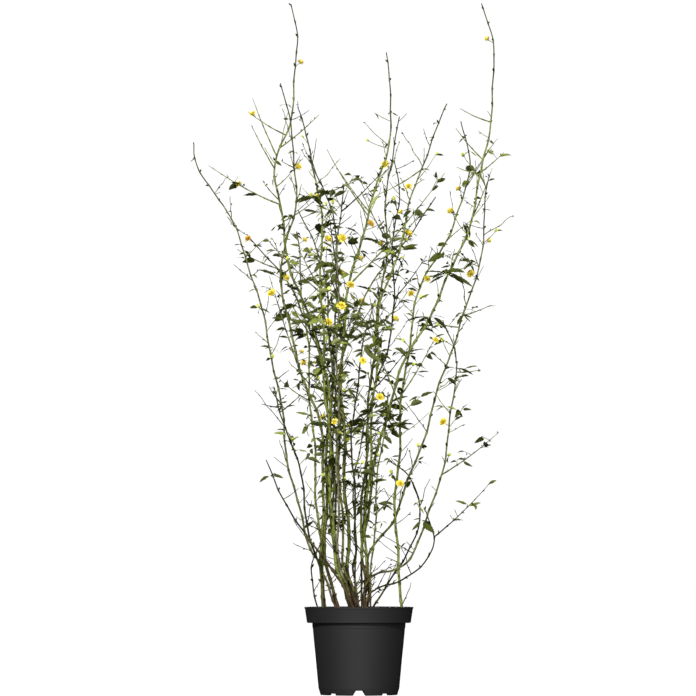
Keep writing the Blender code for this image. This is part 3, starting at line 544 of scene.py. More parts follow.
class Path:
    """A curve in space that is read by its length."""

    def __init__(self, points):
        self.points = points
        self.marks = [0.0]
        for a, b in zip(points, points[1:]):
            self.marks.append(self.marks[-1] + (b - a).length)
        self.length = self.marks[-1]

    def at(self, distance):
        """The point at a distance from the start."""
        distance = min(max(distance, 0.0), self.length)
        i = int(np.searchsorted(self.marks, distance, side="right")) - 1
        i = min(max(i, 0), len(self.points) - 2)
        share = (distance - self.marks[i]) / max(self.marks[i + 1] - self.marks[i], 1e-9)
        return self.points[i].lerp(self.points[i + 1], share)

    def along(self, distance):
        """The direction at a distance from the start, taken over a short stretch."""
        reach = 0.004
        return (self.at(distance + reach) - self.at(distance - reach)).normalized()

    def distance_at_height(self, height):
        """The distance at which the curve first rises past a height."""
        for i, (a, b) in enumerate(zip(self.points, self.points[1:])):
            if a.z <= height <= b.z:
                return self.marks[i] + (b - a).length * (height - a.z) / max(b.z - a.z, 1e-9)
        return self.length


def cane_path(cane):
    """A cane's curve from the soil to its tip: its bends, with a sway in depth and a slight wave across."""
    flat = [Vector((cane.foot[0], 0, SOIL_TOP + GAP))]
    flat += [Vector((x, 0, z)) for x, z in cane.bends]
    curve = Path(smooth_curve(flat))
    phase = CANES.index(cane) * GOLDEN_ANGLE
    points = []
    for point, mark in zip(curve.points, curve.marks):
        share = mark / curve.length
        sway = SWAY * (math.sin(2 * math.pi * SWAYS * share + phase) - math.sin(phase)) * min(1.0, 2 * share)
        depth = cane.foot[1] + (cane.tip_depth - cane.foot[1]) * share ** DEPTH_POWER + sway
        wave = WAVE * math.sin(2 * math.pi * mark / WAVE_LENGTH + 3 * phase) * min(1.0, 8 * share)
        points.append(Vector((point.x + wave, depth, point.z)))
    return Path(points)


def cane_radius(cane, length, distance):
    """Radius of a cane at a distance from its foot, with the flare of its root."""
    share = max(0.0, 1 - distance / length)
    plain = (TIP_GIRTH + (cane.girth - TIP_GIRTH) * share ** TAPER) / 2
    if distance < FLARE_HEIGHT:
        return plain * (1 + FLARE * (1 - distance / FLARE_HEIGHT) ** 2)
    return plain


def shoot_path(root, reach):
    """A shoot that leaves its limb low and turns up toward its tip."""
    middle = root + reach * 0.5 - Vector((0, 0, SHOOT_SAG * reach.length))
    tip = root + reach
    points = []
    for k in range(SHOOT_POINTS + 1):
        f = k / SHOOT_POINTS
        points.append(root * (1 - f) ** 2 + middle * 2 * f * (1 - f) + tip * f * f)
    return Path(points)


def within_reach(point):
    """Whether a point of the plant lies inside the box of the part's solids."""
    placed = point + AXIS
    return all(low < value < high for low, value, high in zip(cad_low, placed, cad_high))


def direction(turn, rise):
    """The direction at a turn about the vertical and a rise above the level."""
    return Vector((math.cos(turn) * math.cos(rise), math.sin(turn) * math.cos(rise), math.sin(rise)))


def leafiness(height):
    """Share of leaves that the shrub carries at a height: bare below, thin at the top."""
    if height < LEAFY_FROM or height > LEAFY_UNTIL:
        return 0.0
    if height < LEAFY_FULL[0]:
        return (height - LEAFY_FROM) / (LEAFY_FULL[0] - LEAFY_FROM)
    if height > LEAFY_FULL[1]:
        return (LEAFY_UNTIL - height) / (LEAFY_UNTIL - LEAFY_FULL[1])
    return 1.0


# Stems
def node_places(start, end, spacing, phase):
    """Distances of the nodes along a stem, a little uneven."""
    places = []
    here = start + spacing * between(FIRST_NODE, phase)
    index = 0
    while here < end:
        places.append(here)
        index += 1
        here += spacing * between(NODE_SPREAD, (index * NODE_STEP + phase) % 1.0)
    return places


def sweep(piece, path, start, end, radius_at, sides, ring, nodes=(), ribs=0, rough=0.0, closed=True):
    """A stem with round rings along a stretch of a path: ribbed bark, swollen nodes and a slight zigzag."""
    count = max(2, int(round((end - start) / ring)))
    distances = np.linspace(start, end, count + 1)
    across = path.along(start).orthogonal().normalized()
    turns = np.linspace(0, 2 * math.pi, sides, endpoint=False)
    corners = []
    for distance in distances:
        along = path.along(distance)
        across = (across - along * across.dot(along)).normalized()
        other = along.cross(across)
        centre = path.at(distance)
        swell = 0.0
        for index, node in enumerate(nodes):
            gap = (distance - node) / NODE_WIDTH
            if abs(gap) < 3:
                swell += NODE_SWELL * math.exp(-gap * gap)
            if abs(distance - node) < NODE_SPACING:
                lean = ZIGZAG * (1 - abs(distance - node) / NODE_SPACING) * (1 if index % 2 else -1)
                centre = centre + across * lean
        radius = radius_at(distance)
        ring_radii = radius * (1 + swell + (RIB_DEPTH * np.cos(ribs * turns) if ribs else 0.0))
        if rough:
            height = distance * ROUGH_ALONG + radius * ROUGH_SHIFT
            bumps = [noise.noise(Vector((math.cos(t) * ROUGH_AROUND, math.sin(t) * ROUGH_AROUND, height)))
                     for t in turns]
            ring_radii = ring_radii + rough * np.array(bumps)
        rim = (np.outer(np.cos(turns) * ring_radii, np.array(across))
               + np.outer(np.sin(turns) * ring_radii, np.array(other)))
        corners.append(np.array(centre) + rim)
    faces = []
    for step in range(count):
        low = step * sides
        for k in range(sides):
            after = (k + 1) % sides
            faces.append((low + k, low + after, low + sides + after, low + sides + k))
    if closed:
        faces.append(tuple(reversed(range(sides))))
        faces.append(tuple(range(count * sides, (count + 1) * sides)))
    piece.add(np.concatenate(corners), faces)


def grow_bud(piece, root, heading, length, width):
    """A small pointed scale bud, pressed to its stem."""
    heading = heading.normalized()
    across = heading.orthogonal().normalized()
    other = heading.cross(across)
    sides = SCALE_BUD_SIDES
    corners = []
    for share, size in SCALE_BUD:
        for k in range(sides):
            turn = 2 * math.pi * k / sides
            spread = (across * math.cos(turn) + other * math.sin(turn)) * width * 0.5 * size
            corners.append(root + heading * (length * share) + spread)
    corners.append(root + heading * length)
    faces = []
    for low in range(0, (len(SCALE_BUD) - 1) * sides, sides):
        for k in range(sides):
            after = (k + 1) % sides
            faces.append((low + k, low + after, low + sides + after, low + sides + k))
    last = (len(SCALE_BUD) - 1) * sides
    faces += [(last + k, last + (k + 1) % sides, last + sides) for k in range(sides)]
    piece.add(np.array([tuple(c) for c in corners]), faces)


# Leaves
def leaf_template(fold, droop, wave, slim):
    """A toothed pointed leaf of unit length along +Y: a folded blade with pleats between its side veins."""
    places = [0.0]
    for k in range(LEAF_TEETH):
        places += [(k + TOOTH_FOOT) / (LEAF_TEETH + TOOTH_TIP), (k + 1.0) / (LEAF_TEETH + TOOTH_TIP)]
    places.append(1.0)
    corners = []
    for index, t in enumerate(places):
        half = LEAF_WIDTH * slim * (t + 0.02) ** LEAF_FOOT_CURVE * max(1 - t, 0.0) ** LEAF_TIP_CURVE
        half *= LEAF_FULLNESS
        tooth = 1.0 if index % 2 else TOOTH_CUT
        pleat = PLEAT[0] if index % 2 else PLEAT[1]
        sag = -droop * t * t
        sway = wave * math.sin(t * 5.0) * LEAF_SWAY
        for side in (-1, -PLEAT_AT, 0, PLEAT_AT, 1):
            reach = half * side * (tooth if abs(side) == 1 else 1.0)
            lift = abs(reach) * fold + (pleat if abs(side) == PLEAT_AT else 0.0) * min(1.0, half * 8)
            ripple = LEAF_RIPPLE * math.sin(t * 17 + side * 2) * abs(side) * half * 5
            forward = TOOTH_FORWARD * abs(side) if abs(side) == 1 and index % 2 else 0.0
            corners.append((reach + sway, t + forward, sag + lift + ripple))
    faces = []
    for row in range(len(places) - 1):
        for column in range(4):
            a = row * 5 + column
            faces.append((a, a + 1, a + 6, a + 5))
    return np.array(corners), faces


# The leaf shapes, each a fold, a droop, a wave and a slimness
LEAF_SHAPES = [leaf_template(0.35, 0.16, 1.0, 0.90), leaf_template(0.15, 0.30, -1.0, 0.72),
               leaf_template(0.50, 0.05, 0.6, 1.05), leaf_template(0.25, 0.42, -0.5, 0.58),
               leaf_template(0.65, 0.22, 0.9, 1.12)]


def place(corners, origin, along, up, size):
    """Turns a unit shape so that its +Y runs along and its +Z faces up, and sets it at the origin."""
    along = along.normalized()
    side = along.cross(up)
    side = side.normalized() if side.length > 1e-6 else along.orthogonal().normalized()
    face = side.cross(along)
    axes = np.array([tuple(side), tuple(along), tuple(face)])
    return np.array(tuple(origin)) + (corners * size) @ axes


def grow_leaf(tinted, twigs, path, distance, side, draw, shape, size):
    """A leaf on a short stalk that leaves a twig to one side, hangs, and is turned about its own length."""
    along = path.along(distance)
    level = Vector((-along.y, along.x, 0))
    level = level.normalized() * side if level.length > 1e-6 else Vector((side, 0, 0))
    hang = between(LEAF_HANG, draw[1])
    heading = along * between(LEAF_FORWARD, draw[0]) + level * LEAF_OUTWARD - Vector((0, 0, hang))
    heading.normalize()
    twist = LEAF_TWIST * (2 * draw[0] - 1)
    flat = heading.cross(Vector((0, 0, 1)))
    up = Vector((0, 0, math.cos(twist))) + flat.normalized() * math.sin(twist)
    length = between(LEAF_LENGTH, draw[2]) * size
    root = path.at(distance)
    stalk = length * LEAF_STALK
    stalk_path = Path([root, root + heading * stalk])
    sweep(twigs, stalk_path, 0.0, stalk, lambda distance: LEAF_STALK_RADIUS, 4, stalk, closed=False)
    corners, faces = LEAF_SHAPES[shape]
    tinted.add(place(corners, root + heading * stalk * 0.9, heading, up, length), faces)


# Blossom
def petal(length, width, rise, curl):
    """One petal of unit reach along +Y, cupped, with a blunt notched end."""
    corners = []
    for t, share in PETAL_ROWS:
        angle = rise + curl * t
        y = length * t * math.cos(rise) - curl * PETAL_CURL_BACK * t * t * length * math.sin(angle)
        z = length * t * math.sin(rise) + curl * PETAL_CURL_UP * t * t * length
        for side in (-1, 0, 1):
            notch = -PETAL_NOTCH * length if side == 0 and t > 0.9 else 0.0
            cup = PETAL_CUP * width * side * side * share
            corners.append((side * width * 0.5 * share, y + notch, z + cup))
    faces = []
    for row in range(3):
        for column in range(2):
            a = row * 3 + column
            faces.append((a, a + 1, a + 4, a + 3))
    return np.array(corners), faces


# Whorls of a bloom from the outside in: number of petals, reach, rise and curl
BLOOM_WHORLS = ((9, 1.00, 0.05, -0.25), (9, 0.95, 0.30, -0.10), (8, 0.82, 0.58, 0.05),
                (7, 0.66, 0.88, 0.15), (6, 0.48, 1.15, 0.25), (5, 0.34, 1.35, 0.35))


def grow_bloom(outer, inner, sepals, centre, facing, draws, openness=1.0, size=1.0):
    """A double flower: whorls of petals, the inner ones steeper and deeper in colour, on green sepals."""
    facing = facing.normalized()
    across = facing.orthogonal().normalized()
    radius = BLOOM_RADIUS * size
    for whorl, (count, reach, rise, curl) in enumerate(BLOOM_WHORLS):
        target = outer if whorl < OUTER_WHORLS else inner
        spin = draws.random() * ANY_TURN
        for k in range(count):
            turn = spin + 2 * math.pi * (k + 0.5 * draws.random()) / count
            lift = rise + (1.0 - openness) * CLOSED_LIFT + PETAL_LIFT * (draws.random() - 0.5)
            length = reach * between(PETAL_REACH, draws.random())
            bend = curl + PETAL_CURL * (draws.random() - 0.5)
            corners, faces = petal(length, between(PETAL_WIDTH, reach), min(lift, STEEPEST_PETAL), bend)
            outward = across * math.cos(turn) + facing.cross(across) * math.sin(turn)
            base = centre + facing * (radius * WHORL_STEP * whorl)
            target.add(place(corners, base, outward, facing, radius), faces)
    for k in range(SEPALS):
        turn = 2 * math.pi * k / SEPALS
        outward = across * math.cos(turn) + facing.cross(across) * math.sin(turn) - facing * SEPAL_DROP
        corners, faces = petal(length=0.42, width=0.22, rise=0.05, curl=0.1)
        sepals.add(place(corners, centre - facing * radius * SEPAL_DEPTH, outward, facing, radius), faces)


def grow_flower_bud(petals, sepals, centre, facing, draws, size):
    """A swelling flower bud: a few wrapped petals held by pointed sepals."""
    facing = facing.normalized()
    across = facing.orthogonal().normalized()
    radius = BUD_RADIUS * size
    for k in range(BUD_PETALS):
        turn = 2 * math.pi * k / BUD_PETALS + draws.random()
        corners, faces = petal(length=1.35, width=1.15, rise=1.0 + 0.35 * draws.random(), curl=0.9)
        outward = across * math.cos(turn) + facing.cross(across) * math.sin(turn)
        petals.add(place(corners, centre, outward, facing, radius), faces)
    for k in range(SEPALS):
        turn = 2 * math.pi * k / SEPALS + 0.3
        corners, faces = petal(length=0.8, width=0.5, rise=0.55, curl=0.3)
        outward = across * math.cos(turn) + facing.cross(across) * math.sin(turn)
        sepals.add(place(corners, centre - facing * radius * 0.12, outward, facing, radius), faces)


# The plant

# Clusters of larger leaves that stand out: cane, height, number and size of the leaves, tint
CLUSTERS = (
    ("right_tall", 1.000, 8, 1.15, "deep"), ("right_tall", 0.900, 6, 0.95, "deep"),
    ("right_leaning", 1.050, 5, 1.00, "middle"), ("left_inner", 0.860, 8, 0.90, "deep"),
    ("left_inner", 0.735, 5, 0.95, "middle"), ("short_right", 0.640, 9, 1.10, "deep"),
    ("short_right", 0.455, 5, 0.90, "middle"), ("right_leaning", 0.670, 6, 0.95, "deep"),
    ("right_leaning", 0.500, 6, 0.95, "fresh"), ("right_low", 0.780, 4, 0.80, "deep"),
)

# The leaf shapes that a cluster takes in turn, and the kinds of bark
CLUSTER_SHAPES = (0, 1, 3)
BARKS = ("old_wood", "young_wood", "olive", "green", "grey", "dark", "tips")


class Shrub:
    """All the growth of the shrub, gathered by kind and tint."""

    def __init__(self):
        self.stems = {tint: Piece("stems_" + tint) for tint in BARKS}
        self.twigs = {tint: Piece("twigs_" + tint) for tint in ("olive", "green", "dark")}
        self.leaves = {tint: Piece("leaves_" + tint) for tint, until in LEAF_TINTS}
        self.buds = Piece("node_buds")
        self.petals = {tint: Piece("petals_" + tint) for tint in ("gold", "orange", "lemon", "faded")}
        self.sepals = Piece("sepals")
        for cane in CANES:
            self.grow_cane(cane)

    def leaf_tint(self, draws):
        """The leaves of the tint that a spray gets."""
        pick = draws.random()
        return next(self.leaves[tint] for tint, until in LEAF_TINTS if pick < until)

    def grow_cane(self, cane):
        """A whole cane from the soil to its tip, with its nodes and buds, and everything that grows on it."""
        path = cane_path(cane)
        start = 0.0 if cane.fork is None else path.distance_at_height(cane.fork)
        draws = random.Random("nodes " + cane.name)
        nodes = node_places(NODE_START, path.length, NODE_SPACING, draws.random())

        def radius_at(distance):
            return cane_radius(cane, path.length, distance)

        old_until = path.distance_at_height(cane.bark[0]) if cane.bark[0] > SOIL_TOP + 0.01 else 0.0
        young_until = old_until + between(BARK_CHANGE, draws.random()) if old_until else 0.0
        tip_from = path.length * (TIP_FROM[0] if path.length > LONG_CANE else TIP_FROM[1])
        stretches = ((0.0, old_until, "old_wood", OLD_WOOD_ROUGH),
                     (old_until, young_until, "young_wood", YOUNG_WOOD_ROUGH),
                     (young_until, tip_from, cane.bark[1], 0.0), (tip_from, path.length, "tips", 0.0))
        for low, high, tint, rough in stretches:
            if high - low > SHORTEST_STRETCH:
                sweep(self.stems[tint], path, low, high, radius_at, CANE_SIDES, CANE_RING, nodes, RIBS, rough)
        self.grow_node_buds(path, nodes, radius_at, draws, CANE_BUDS)
        self.grow_shoots(cane, path)
        self.grow_spurs(cane, path, start)
        self.grow_blooms(cane, path)
        self.grow_fine(cane, path, start)
        self.grow_bare_twigs(cane, path, start)
        self.grow_clusters(cane, path)
        self.grow_young_leaves(cane, path, nodes)

    def grow_node_buds(self, path, nodes, radius_at, draws, share_and_length):
        """A bud on alternate sides at most nodes."""
        share, length = share_and_length
        for index, node in enumerate(nodes):
            if draws.random() > share:
                continue
            along = path.along(node)
            turn = math.pi * (index % 2) + BUD_TURN * draws.random()
            across = along.orthogonal().normalized()
            outward = across * math.cos(turn) + along.cross(across) * math.sin(turn)
            root = path.at(node) + outward * radius_at(node) * BUD_ROOT
            size = length * between(BUD_SIZES, draws.random())
            grow_bud(self.buds, root, along * BUD_LEAN[0] + outward * BUD_LEAN[1], size, size * BUD_WIDTH)

    def grow_twig(self, path, girth, tint, draws, bare_buds=True):
        """A side twig with its own small nodes and buds."""
        def radius_at(distance):
            return (girth + (TWIG_TIP_GIRTH - girth) * distance / path.length) / 2

        nodes = node_places(TWIG_NODE_START, path.length, TWIG_NODE_SPACING, draws.random())
        sweep(self.twigs[tint], path, 0.0, path.length, radius_at, TWIG_SIDES, TWIG_RING, nodes)
        if bare_buds:
            self.grow_node_buds(path, nodes, radius_at, draws, TWIG_BUDS)

    def spray_tint(self, cane):
        """The bark of a cane's twigs."""
        return {"green": "green", "olive": "olive"}.get(cane.bark[1], "dark")

    def grow_shoots(self, cane, path):
        """The stated side shoots, each with the leaves and the bloom that the part's source gives it."""
        draws = random.Random("shoots " + cane.name)
        looks = random.Random("shoot looks " + cane.name)
        for stated in cane.shoots:
            root = path.at(path.distance_at_height(stated.at))
            own = shoot_path(root, stated.reach)
            girth = SHOOT_GIRTH * (1 + SHOOT_GIRTH_GAIN * stated.reach.length)
            self.grow_twig(own, girth, self.spray_tint(cane), looks)
            tinted = self.leaf_tint(looks)
            side = 1
            for k in range(1, int(own.length / SHOOT_LEAF_SPACING) + 1):
                draw = (draws.random(), draws.random(), draws.random(), draws.random())
                distance = min(k * SHOOT_LEAF_SPACING, own.length * NEAR_TIP)
                if draw[3] < leafiness(own.at(distance).z):
                    grow_leaf(tinted, self.twigs["green"], own, distance, side, draw,
                              looks.randrange(len(LEAF_SHAPES)), SHOOT_LEAF)
                side = -side
            if stated.bloom:
                turn = math.atan2(stated.reach.y - 0.05, stated.reach.x)
                self.grow_bloom_on(own, own.length * stated.bloom, turn, looks)
            self.grow_side_twigs(own, looks, tinted, self.spray_tint(cane))

    def grow_spurs(self, cane, path, start):
        """The short leafy spurs of the part's source, with a leaf in each place it has one."""
        draws = random.Random("spurs " + cane.name)
        looks = random.Random("spur looks " + cane.name)
        length_here = path.length - start
        count = round(length_here * SPURS_PER_METRE * cane.leafy)
        for k in range(count):
            distance = SPUR_START + (length_here - SPUR_START) * (k + 0.3 + 0.4 * draws.random()) / count
            turn = k * GOLDEN_ANGLE + draws.random()
            length = between(SPUR_LENGTH, draws.random())
            rise = between(SPUR_RISE, draws.random())
            kept = draws.random()
            leaf_draws = [(draws.random(), draws.random(), draws.random()) for _ in LEAVES_PER_SPUR]
            root = path.at(start + distance)
            if kept > leafiness(root.z):
                continue
            own = shoot_path(root, direction(turn, rise) * length)
            self.grow_twig(own, SPUR_GIRTH, "green", looks, False)
            tinted = self.leaf_tint(looks)
            for index, (share, draw) in enumerate(zip(LEAVES_PER_SPUR, leaf_draws)):
                side = 1 if index % 2 else -1
                grow_leaf(tinted, self.twigs["green"], own, own.length * share * NEAR_TIP, side, draw,
                          looks.randrange(len(LEAF_SHAPES)), 1.0)
            self.grow_tuft(own, own.length * NEAR_TIP, looks, tinted, 1 + looks.randrange(3), TUFT_LEAF)

    def grow_bloom_on(self, path, distance, turn, looks):
        """A bloom on its stalk, turned up and a little to the front."""
        root = path.at(distance)
        heading = direction(turn, STALK_RISE)
        centre = root + heading * BLOOM_STALK
        stalk = Path([root, centre])
        sweep(self.twigs["green"], stalk, 0.0, BLOOM_STALK, lambda distance: BLOOM_STALK_RADIUS, 5, 0.005)
        facing = (heading + Vector((0, -BLOOM_FRONT, BLOOM_UP * looks.random()))).normalized()
        outer = self.petals["faded" if looks.random() < FADED_SHARE else "gold"]
        openness = between(BLOOM_OPEN, looks.random())
        size = between(BLOOM_SIZE, looks.random())
        grow_bloom(outer, self.petals["orange"], self.sepals, centre, facing, looks, openness, size)

    def grow_blooms(self, cane, path):
        """The blooms that sit right on the cane."""
        looks = random.Random("bloom looks " + cane.name)
        for height, turn in cane.blooms:
            self.grow_bloom_on(path, path.distance_at_height(height), math.radians(turn), looks)

    def grow_side_twigs(self, path, looks, tinted, tint):
        """Finer twigs with small leaves that fork off a longer twig."""
        start = path.length * SIDE_TWIGS_FROM
        amount = SIDE_TWIGS_PER_METRE * path.length
        for k in range(int(amount)):
            distance = start + (path.length - start) * (k + looks.random()) / max(amount, 1)
            length = between(SIDE_TWIG_LENGTH, looks.random())
            turn = k * GOLDEN_ANGLE + 2 * looks.random()
            rise = between(SIDE_TWIG_RISE, looks.random())
            draws = (looks.random(), looks.random(), looks.random())
            root = path.at(distance)
            own = shoot_path(root, direction(turn, rise) * length)
            if looks.random() > between(SIDE_TWIGS_KEPT, leafiness(root.z)):
                continue
            self.grow_twig(own, SIDE_TWIG_GIRTH, tint, looks, False)
            if looks.random() < leafiness(root.z):
                for share, side in SIDE_TWIG_LEAVES:
                    grow_leaf(tinted, self.twigs["green"], own, own.length * share * TUFT_END, side, draws,
                              looks.randrange(len(LEAF_SHAPES)), SIDE_LEAF)

    def grow_tuft(self, path, distance, looks, tinted, amount, size):
        """A few leaves that spread from one place, each its own way."""
        root = path.at(distance)
        for _ in range(amount):
            heading = direction(ANY_TURN * looks.random(), between(TUFT_RISE, looks.random()))
            stalk = Path([root, root + heading * TUFT_STALK])
            draw = (looks.random(), looks.random(), looks.random())
            shape = looks.randrange(len(LEAF_SHAPES))
            grow_leaf(tinted, self.twigs["green"], stalk, TUFT_STALK, 1, draw, shape,
                      size * between(TUFT_SIZES, looks.random()))

    def grow_clusters(self, cane, path):
        """The stated clusters of larger leaves, which spread from one place of the cane."""
        looks = random.Random("clusters " + cane.name)
        for name, height, amount, size, tint in CLUSTERS:
            if name != cane.name:
                continue
            root = path.at(path.distance_at_height(height))
            turn = ANY_TURN * looks.random()
            for k in range(amount):
                heading = direction(turn + k * GOLDEN_ANGLE, between(CLUSTER_RISE, looks.random()))
                stalk = Path([root, root + heading * CLUSTER_STALK])
                draw = (looks.random(), CLUSTER_HANG * looks.random(),
                        between(CLUSTER_LENGTHS, looks.random()))
                shape = CLUSTER_SHAPES[k % len(CLUSTER_SHAPES)]
                grow_leaf(self.leaves[tint], self.twigs["green"], stalk, CLUSTER_STALK, 1, draw, shape,
                          size * between(CLUSTER_SIZES, looks.random()))

    def grow_young_leaves(self, cane, path, nodes):
        """Small unfolding leaves at nodes of the upper stems."""
        looks = random.Random("young leaves " + cane.name)
        for node in nodes:
            if looks.random() < YOUNG_LEAF_SHARE and YOUNG_LEAVES[0] < path.at(node).z < YOUNG_LEAVES[1]:
                self.grow_tuft(path, node, looks, self.leaf_tint(looks), 2, YOUNG_LEAF)

    def grow_fine(self, cane, path, start):
        """Finer spurs between those of the part's source: tufts of small leaves, flower buds, bare twigs."""
        looks = random.Random("fine " + cane.name)
        low = max(start - FINE_BELOW_FORK, FINE_FROM)
        gain = HEART_FINE_GAIN if cane.leafy > LEAFY_CANE else 1.0
        share = between(SPURS_BY_LEAFINESS, cane.leafy)
        count = round((path.length - low) * FINE_SPURS_PER_METRE * share * gain)
        for k in range(count):
            distance = low + (path.length - low) * (k + looks.random()) / count
            turn = k * GOLDEN_ANGLE + 0.7 + looks.random()
            length = between(FINE_SPUR_LENGTH, looks.random() ** 2)
            rise = between(FINE_SPUR_RISE, looks.random())
            root = path.at(distance)
            wanted = leafiness(root.z)
            if cane.fork is None and cane.leafy == 1.0 and root.z > LOW_LEAVES_FROM:
                wanted = 1.0
            kind = looks.random()
            high = root.z > HIGH_FROM
            if looks.random() > SPURS_KEPT[high] + LEAFY_SPURS_KEPT * wanted or root.z > FINE_UNTIL:
                continue
            own = shoot_path(root, direction(turn, rise) * length * (HIGH_SPUR_GAIN if high else 1.0))
            tinted = self.leaf_tint(looks)
            if kind < BARE_SPUR_SHARE[high]:
                self.grow_twig(own, BARE_SPUR_GIRTH, "dark", looks)
                continue
            tint = "green" if kind < GREEN_SPUR_SHARE else self.spray_tint(cane)
            self.grow_twig(own, FINE_SPUR_GIRTH, tint, looks, False)
            if kind > BUD_SPUR_FROM and BUD_HEIGHTS[0] < root.z < BUD_HEIGHTS[1]:
                tip = own.at(own.length)
                grow_flower_bud(self.petals["lemon"], self.sepals, tip, own.along(own.length), looks,
                                between(FLOWER_BUD_SIZES, looks.random()))
            if looks.random() < between(TUFTS_BY_LEAFINESS, wanted):
                more = 1 if HEART[0] < root.z < HEART[1] and cane.leafy > TUFTED_CANE else 0
                size = CLUSTER_LEAF if looks.random() < CLUSTER_SHARE else TUFT_LEAF
                amount = 1 + more + looks.randrange(4)
                self.grow_tuft(own, own.length * TUFT_END, looks, tinted, amount, size)

    def grow_bare_twigs(self, cane, path, start):
        """Thin crooked twigs with no leaves: dead ones low on a cane, and live ones through the crown."""
        looks = random.Random("dry " + cane.name)
        reach = path.length * DRY_TWIGS_END_UNFORKED
        if start:
            reach = min(path.length * DRY_TWIGS_END, start + DRY_TWIGS_PAST_FORK)
        self.grow_crooked(path, (0.0, reach), DRY_TWIGS_PER_METRE, DRY_TWIG_LENGTH, DRY_TWIG_RISE, "dark",
                          looks)
        if start:
            top = min(path.length * CROWN_TWIGS_END, path.distance_at_height(CROWN_TWIGS_UNTIL))
            self.grow_crooked(path, (reach, top), CROWN_TWIGS_PER_METRE, CROWN_TWIG_LENGTH, CROWN_TWIG_RISE,
                              self.spray_tint(cane), looks)

    def grow_crooked(self, path, stretch, per_metre, lengths, rises, tint, looks):
        """Crooked twigs along a stretch of a path, as far as they stay inside the part's box."""
        count = round((stretch[1] - stretch[0]) * per_metre)
        for k in range(count):
            root = path.at(between(stretch, (k + 0.15 + 0.7 * looks.random()) / count))
            length = between(lengths, looks.random() ** CROOKED_POWER)
            rise = between(rises, looks.random())
            heading = direction(k * GOLDEN_ANGLE + looks.random(), rise)
            points = [root]
            for step in range(1, DRY_TWIG_BENDS + 1):
                kink = Vector([looks.random() - 0.5 for _ in range(3)]) * 2 * DRY_TWIG_KINK * length
                points.append(root + heading * (length * step / DRY_TWIG_BENDS) + kink)
            girth = DRY_TWIG_GIRTH * between(CROOKED_GIRTHS, looks.random())
            if within_reach(points[-1]):
                self.grow_twig(Path(smooth_curve(points, 4)), girth, tint, looks)

    def make(self, finishes):
        """The pieces, which take the place of the part's canes and masses."""
        limbs = ["cane_" + cane.name for cane in CANES]
        masses = ["mass_" + cane.name for cane in CANES if cane.fork is not None]
        for tint, piece in self.stems.items():
            piece.make(finishes["bark_" + tint], "bark", limbs)
        for tint, piece in self.twigs.items():
            piece.make(finishes["bark_" + tint], "foliage", masses)
        for tint, piece in self.leaves.items():
            piece.make(finishes["leaf_" + tint], "foliage", masses)
        for tint, piece in self.petals.items():
            piece.make(finishes["petal_" + tint], "foliage", masses)
        self.buds.make(finishes["bark_dark"], "foliage", masses)
        self.sepals.make(finishes["leaf_fresh"], "foliage", masses)


# Pot and soil
def revolve(profile, sides):
    """Corners and faces of a closed solid of revolution; the profile starts and ends on the axis."""
    turns = np.linspace(0, 2 * math.pi, sides, endpoint=False)
    corners = [np.array([[0, 0, profile[0][1]], [0, 0, profile[-1][1]]], dtype=float)]
    rings = profile[1:-1]
    for radius, height in rings:
        corners.append(np.stack([radius * np.cos(turns), radius * np.sin(turns), np.full(sides, height)], 1))
    faces = []
    top = 2 + (len(rings) - 1) * sides
    for k in range(sides):
        after = (k + 1) % sides
        faces.append((0, 2 + after, 2 + k))
        faces.append((1, top + k, top + after))
        for ring in range(len(rings) - 1):
            low = 2 + ring * sides
            faces.append((low + k, low + after, low + sides + after, low + sides + k))
    return np.concatenate(corners), faces


def rounded(profile, radius, steps=3):
    """The profile with each of its inner corners turned into a small arc."""
    made = [profile[0]]
    for before, here, after in zip(profile, profile[1:], profile[2:]):
        a = np.array(before, dtype=float) - np.array(here)
        b = np.array(after, dtype=float) - np.array(here)
        cut = min(radius, EDGE_SHARE * np.linalg.norm(a), EDGE_SHARE * np.linalg.norm(b))
        start = np.array(here) + a / np.linalg.norm(a) * cut
        end = np.array(here) + b / np.linalg.norm(b) * cut
        for k in range(steps + 1):
            f = k / steps
            point = start * (1 - f) ** 2 + np.array(here) * 2 * f * (1 - f) + end * f * f
            made.append((float(point[0]), float(point[1])))
    made.append(profile[-1])
    return made


def notch_cutter(notch, turn):
    """A wedge that opens one drain notch in the foot ring, with its cheeks slanting inward."""
    out = Vector((math.cos(turn), math.sin(turn), 0))
    side = Vector((-math.sin(turn), math.cos(turn), 0))
    inner = FOOT_DIAMETER / 2 - FOOT_RING_WIDTH
    outer = FOOT_DIAMETER / 2
    outer_top = outer + (BODY_FOOT_DIAMETER - FOOT_DIAMETER) / 2 * notch.height / FOOT_HEIGHT
    edges = ((0.0, inner, notch.inner_foot, outer, notch.outer_foot),
             (notch.height, inner, notch.inner_top, outer_top, notch.outer_top))
    verts = []
    for past in (-NOTCH_OVERCUT, NOTCH_OVERCUT):
        for height, near, near_width, far, far_width in edges:
            reach = (near if past < 0 else far) + past
            width = near_width + (far_width - near_width) * (reach - near) / (far - near)
            for across in (-width / 2, width / 2):
                verts.append(AXIS + out * reach + side * across + Vector((0, 0, height)))
    low = Vector((0, 0, -NOTCH_OVERCUT))
    verts += [verts[0] + low, verts[1] + low, verts[4] + low, verts[5] + low]
    faces = [(0, 1, 9, 8), (2, 3, 1, 0), (10, 11, 5, 4), (4, 5, 7, 6), (6, 7, 3, 2), (11, 10, 8, 9),
             (4, 6, 2, 0), (10, 4, 0, 8), (7, 5, 1, 3), (5, 11, 9, 1)]
    return verts, faces


